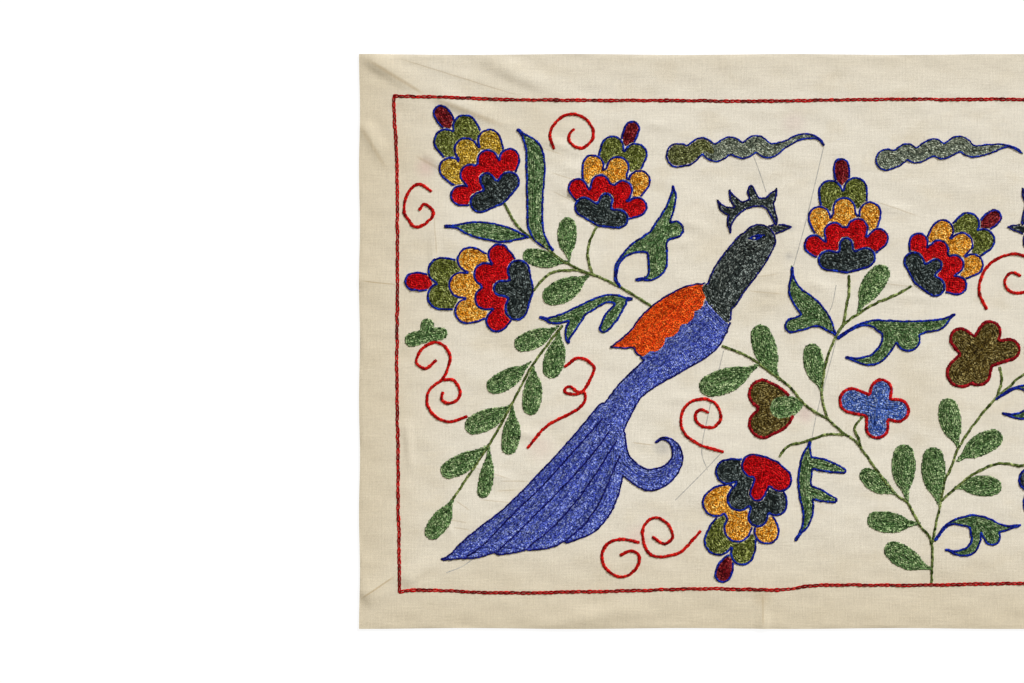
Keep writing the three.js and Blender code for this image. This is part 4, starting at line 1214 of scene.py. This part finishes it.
def link_shape(stations):
    """Points of a link as shares along, across and up, and its quads, which leave an eye open."""
    points = []
    for s in stations:
        middle = [(-s["eye"], EYE_RISE), (s["eye"], EYE_RISE)] if "eye" in s else [(0.0, s["groove"])]
        left = [(-s["edge"], LINK_SUNK), (-s["crest"], s["top"])]
        right = [(s["crest"], s["top"]), (s["edge"], LINK_SUNK)]
        points += [(s["along"], *spot) for spot in left + middle + right]
    wide = len(points) // len(stations)
    strips = (0, 1, 3, 4) if "eye" in stations[0] else (0, 1, 2, 3)
    quads = [
        (k + j + 1, k + wide + j + 1, k + wide + j, k + j)
        for k in range(0, len(points) - wide, wide)
        for j in strips
    ]
    return np.array(points), np.array(quads)


LINK_SHAPES = {kind: link_shape(stations) for kind, stations in LINK_STATIONS.items()}


def links_of(lines):
    """Start, step, width and height of every link along the lines."""
    starts, steps, widths, heights = [], [], [], []
    for line, link in lines:
        lengths = np.hypot(*np.diff(line, axis=0).T)
        run = np.concatenate([[0.0], np.cumsum(lengths)])
        if run[-1] < SHORTEST_RUN * link["length"]:
            continue
        count = max(1, round(run[-1] / link["length"]))
        at = np.linspace(0, run[-1], count + 1)
        knots = np.stack([np.interp(at, run, line[:, 0]), np.interp(at, run, line[:, 1])], axis=1)
        knots += random.normal(0, JITTER, knots.shape)
        starts.append(knots[:-1])
        steps.append(np.diff(knots, axis=0))
        widths.append(link["width"] * (1 + random.normal(0, WIDTH_SPREAD, count)))
        heights.append(link["height"] * (1 + random.normal(0, HEIGHT_SPREAD, count)))
    return np.vstack(starts), np.vstack(steps), np.concatenate(widths), np.concatenate(heights)


def skein_colours(skein):
    return [np.array(srgb(*colour)) for colour in SKEINS[skein]]


def stitch_colours(skein, count, kind):
    """A colour for each point: links differ in tone, and so do the two legs of a link. The sunk edges and
    the groove or eye get painted shade, and each station is painted darker where the link is low and
    lighter where it is high.
    """
    dark, middle, light = skein_colours(skein)
    tone = random.normal(0.5, LINK_TONE_SPREAD, (count, 1)) + random.normal(0, LEG_TONE_SPREAD, (count, 2))
    tone = np.clip(tone, 0, 1)[..., None]
    shaded = dark + (middle - dark) * tone * 2
    shining = middle + (light - middle) * (tone * 2 - 1)
    legs = np.where(tone < 0.5, shaded, shining)
    left, right = legs[:, 0], legs[:, 1]
    inner = [(left + right) / 2 * GROOVE_PAINTED_SHADE]
    if kind == "open":
        inner = [left * GROOVE_PAINTED_SHADE, right * GROOVE_PAINTED_SHADE]
    across = np.stack([left * EDGE_PAINTED_SHADE, left, *inner, right, right * EDGE_PAINTED_SHADE], axis=1)
    # Each station's tone: painted shade where the link is low, painted highlight where it is high
    stations = np.array([station["tone"] for station in LINK_STATIONS[kind]])
    return (across[:, None] * stations[None, :, None, None]).reshape(-1, 3)


def link_mesh(skein, kind, lines):
    """Points, quads and colours of all the links of one kind in a skein."""
    shape, quads = LINK_SHAPES[kind]
    start, step, width, height = links_of(lines)
    length = np.hypot(step[:, 0], step[:, 1])
    side = np.stack([-step[:, 1], step[:, 0]], axis=1) / np.maximum(length, TINY)[:, None]
    middle = start + step / 2
    ground = cloth_top(middle[:, 0], middle[:, 1])
    flat = (
        start[:, None, :]
        + shape[None, :, 0:1] * step[:, None, :]
        + shape[None, :, 1:2] * (width / 2)[:, None, None] * side[:, None, :]
    )
    level = ground[:, None] + shape[None, :, 2] * height[:, None]
    points = np.concatenate([flat, level[..., None]], axis=2).reshape(-1, 3)
    faces = (quads[None] + np.arange(len(start))[:, None, None] * len(shape)).reshape(-1, 4)
    return points, faces, stitch_colours(skein, len(start), kind)


def padding_mesh(skein):
    """Small squares of thread under the fills, so that no cloth shows between the rows, coloured between
    the skein's shaded and open colours and darkened further: painted shade between the rows.
    """
    spots = np.vstack(padded[skein])
    half = FIELD_STEP * PADDING_CELLS / 2
    corners = np.array([(-half, -half), (half, -half), (half, half), (-half, half)])
    flat = (spots[:, None, :] + corners[None]).reshape(-1, 2)
    rise = cloth_top(flat[:, 0], flat[:, 1]) + PADDING_RISE
    points = np.column_stack([flat, rise])
    faces = np.arange(len(points)).reshape(-1, 4)
    dark, middle, _ = skein_colours(skein)
    tone = np.repeat(random.uniform(0, 1, (len(spots), 1)), 4, axis=0)
    return points, faces, (dark + (middle - dark) * tone) * PADDING_SHADE


def make_stitches(skein):
    """All the stitches of one skein, with their padding, as one piece."""
    parts = []
    for kind in LINK_SHAPES:
        lines = [(line, link) for line, link in sewn[skein] if link["kind"] == kind]
        if lines:
            parts.append(link_mesh(skein, kind, lines))
    if padded[skein]:
        parts.append(padding_mesh(skein))
    shifts = np.cumsum([0] + [len(points) for points, _, _ in parts])
    points = np.vstack([part[0] for part in parts])
    faces = np.vstack([part[1] + shift for part, shift in zip(parts, shifts)])
    colours = np.vstack([part[2] for part in parts])
    piece = mesh_piece(f"{skein}_stitches", points, faces, thread_finish(skein))
    layer = piece.data.color_attributes.new("thread_colour", "FLOAT_COLOR", "POINT")
    rgba = np.column_stack([colours, np.ones(len(colours))])
    layer.data.foreach_set("color", np.ravel(rgba).astype(np.float32))
    lay_flat_map(piece, points, faces)
    return piece


def make_embroidery():
    sew_lines()
    sew_leaves()
    sew_single_blossoms()
    sew_clouds()
    sew_blossoms()
    sew_birds()
    return [make_stitches(skein) for skein in SKEINS]


# Drawing lines that the stitches did not cover
GUIDE_LINES = [
    [(-128, 164), (-122, 148), (-116, 130)],
    [(-66, 169), (-80, 110), (-92, 66)],
    [(-55, 49), (-60, 28), (-72, 12)],
    [(-55, 1), (-71, -59), (-76, -83)],
    [(-195, -138), (-174, -117), (-156, -98)],
    [(-153, -8), (-162, -45), (-166, -62), (-172, -94), (-167, -112)],
    [(-394, -201), (-381, -196), (-372, -190)],
]
GUIDE_HALF_WIDTH = 0.42
GUIDE_RISE = 0.06
GUIDE_POINTS = 20


def make_guide_lines():
    points, faces = [], []
    for rows in GUIDE_LINES:
        line = smooth_line(rows, GUIDE_POINTS)
        heading = np.gradient(line, axis=0)
        side = np.stack([-heading[:, 1], heading[:, 0]], axis=1) / np.hypot(*heading.T)[:, None]
        first = sum(map(len, points))
        for sign in (1, -1):
            edge = line + sign * GUIDE_HALF_WIDTH * side
            rise = cloth_top(edge[:, 0], edge[:, 1]) + GUIDE_RISE
            points.append(np.column_stack([edge, rise]))
        count = len(line)
        k = np.arange(count - 1) + first
        faces.append(np.stack([k, k + count, k + count + 1, k + 1], axis=1))
    points, faces = np.vstack(points), np.vstack(faces)
    piece = mesh_piece("guide_lines", points, faces, guide_line_finish())
    lay_flat_map(piece, points, faces)
    return piece


# Floor, light and camera

FLOOR_SIZE = 9.0
FLOOR_DROP = 0.0004
FRAME_PIXELS = 1024
MILLIMETRES_A_PIXEL = 0.8696
CLOTH_LEFT_PIXEL = 359
LENS = 85.0
SENSOR = 36.0
KEY_ENERGY = 4.1
KEY_COLOUR = (0.97, 1.0, 1.07)
KEY_WIDTH = math.radians(12)
KEY_TURN = (math.radians(-44), math.radians(48), 0)
SKY_COLOUR = (1.0, 0.94, 0.82, 1.0)
SKY_STRENGTH = 0.4


def make_floor():
    half = FLOOR_SIZE / MM / 2
    drop = -FLOOR_DROP / MM
    points = np.array([(-half, -half, drop), (half, -half, drop), (half, half, drop), (-half, half, drop)])
    floor = mesh_piece("floor", points, np.array([(0, 1, 2, 3)]), floor_finish())


def make_light():
    lamp = bpy.data.lights.new("soft_key", "SUN")
    lamp.energy = KEY_ENERGY
    lamp.color = KEY_COLOUR
    lamp.angle = KEY_WIDTH
    key = bpy.data.objects.new("soft_key", lamp)
    key.rotation_euler = KEY_TURN
    bpy.context.scene.collection.objects.link(key)
    world = bpy.data.worlds.new("studio")
    world.use_nodes = True
    sky = world.node_tree.nodes["Background"].inputs
    sky["Color"].default_value = SKY_COLOUR
    sky["Strength"].default_value = SKY_STRENGTH
    bpy.context.scene.world = world
    bpy.context.scene.view_settings.view_transform = "Standard"


def make_camera():
    """Straight above, so far that the picture spans its number of pixels at the cloth's scale."""
    lens = bpy.data.cameras.new("camera")
    lens.lens = LENS
    lens.sensor_width = SENSOR
    span = FRAME_PIXELS * MILLIMETRES_A_PIXEL
    middle = -CLOTH_WIDTH / 2 + (FRAME_PIXELS / 2 - CLOTH_LEFT_PIXEL) * MILLIMETRES_A_PIXEL
    camera = bpy.data.objects.new("camera", lens)
    camera.location = (middle * MM, 0.0, (span * LENS / SENSOR + CLOTH_THICKNESS) * MM)
    bpy.context.scene.collection.objects.link(camera)
    bpy.context.scene.camera = camera


make_camera()
make_light()
make_floor()
sheet = make_cloth()
stitches = make_embroidery()
marks = make_guide_lines()

for piece in (sheet, *stitches, marks):
    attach(piece, "root")
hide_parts("cloth")
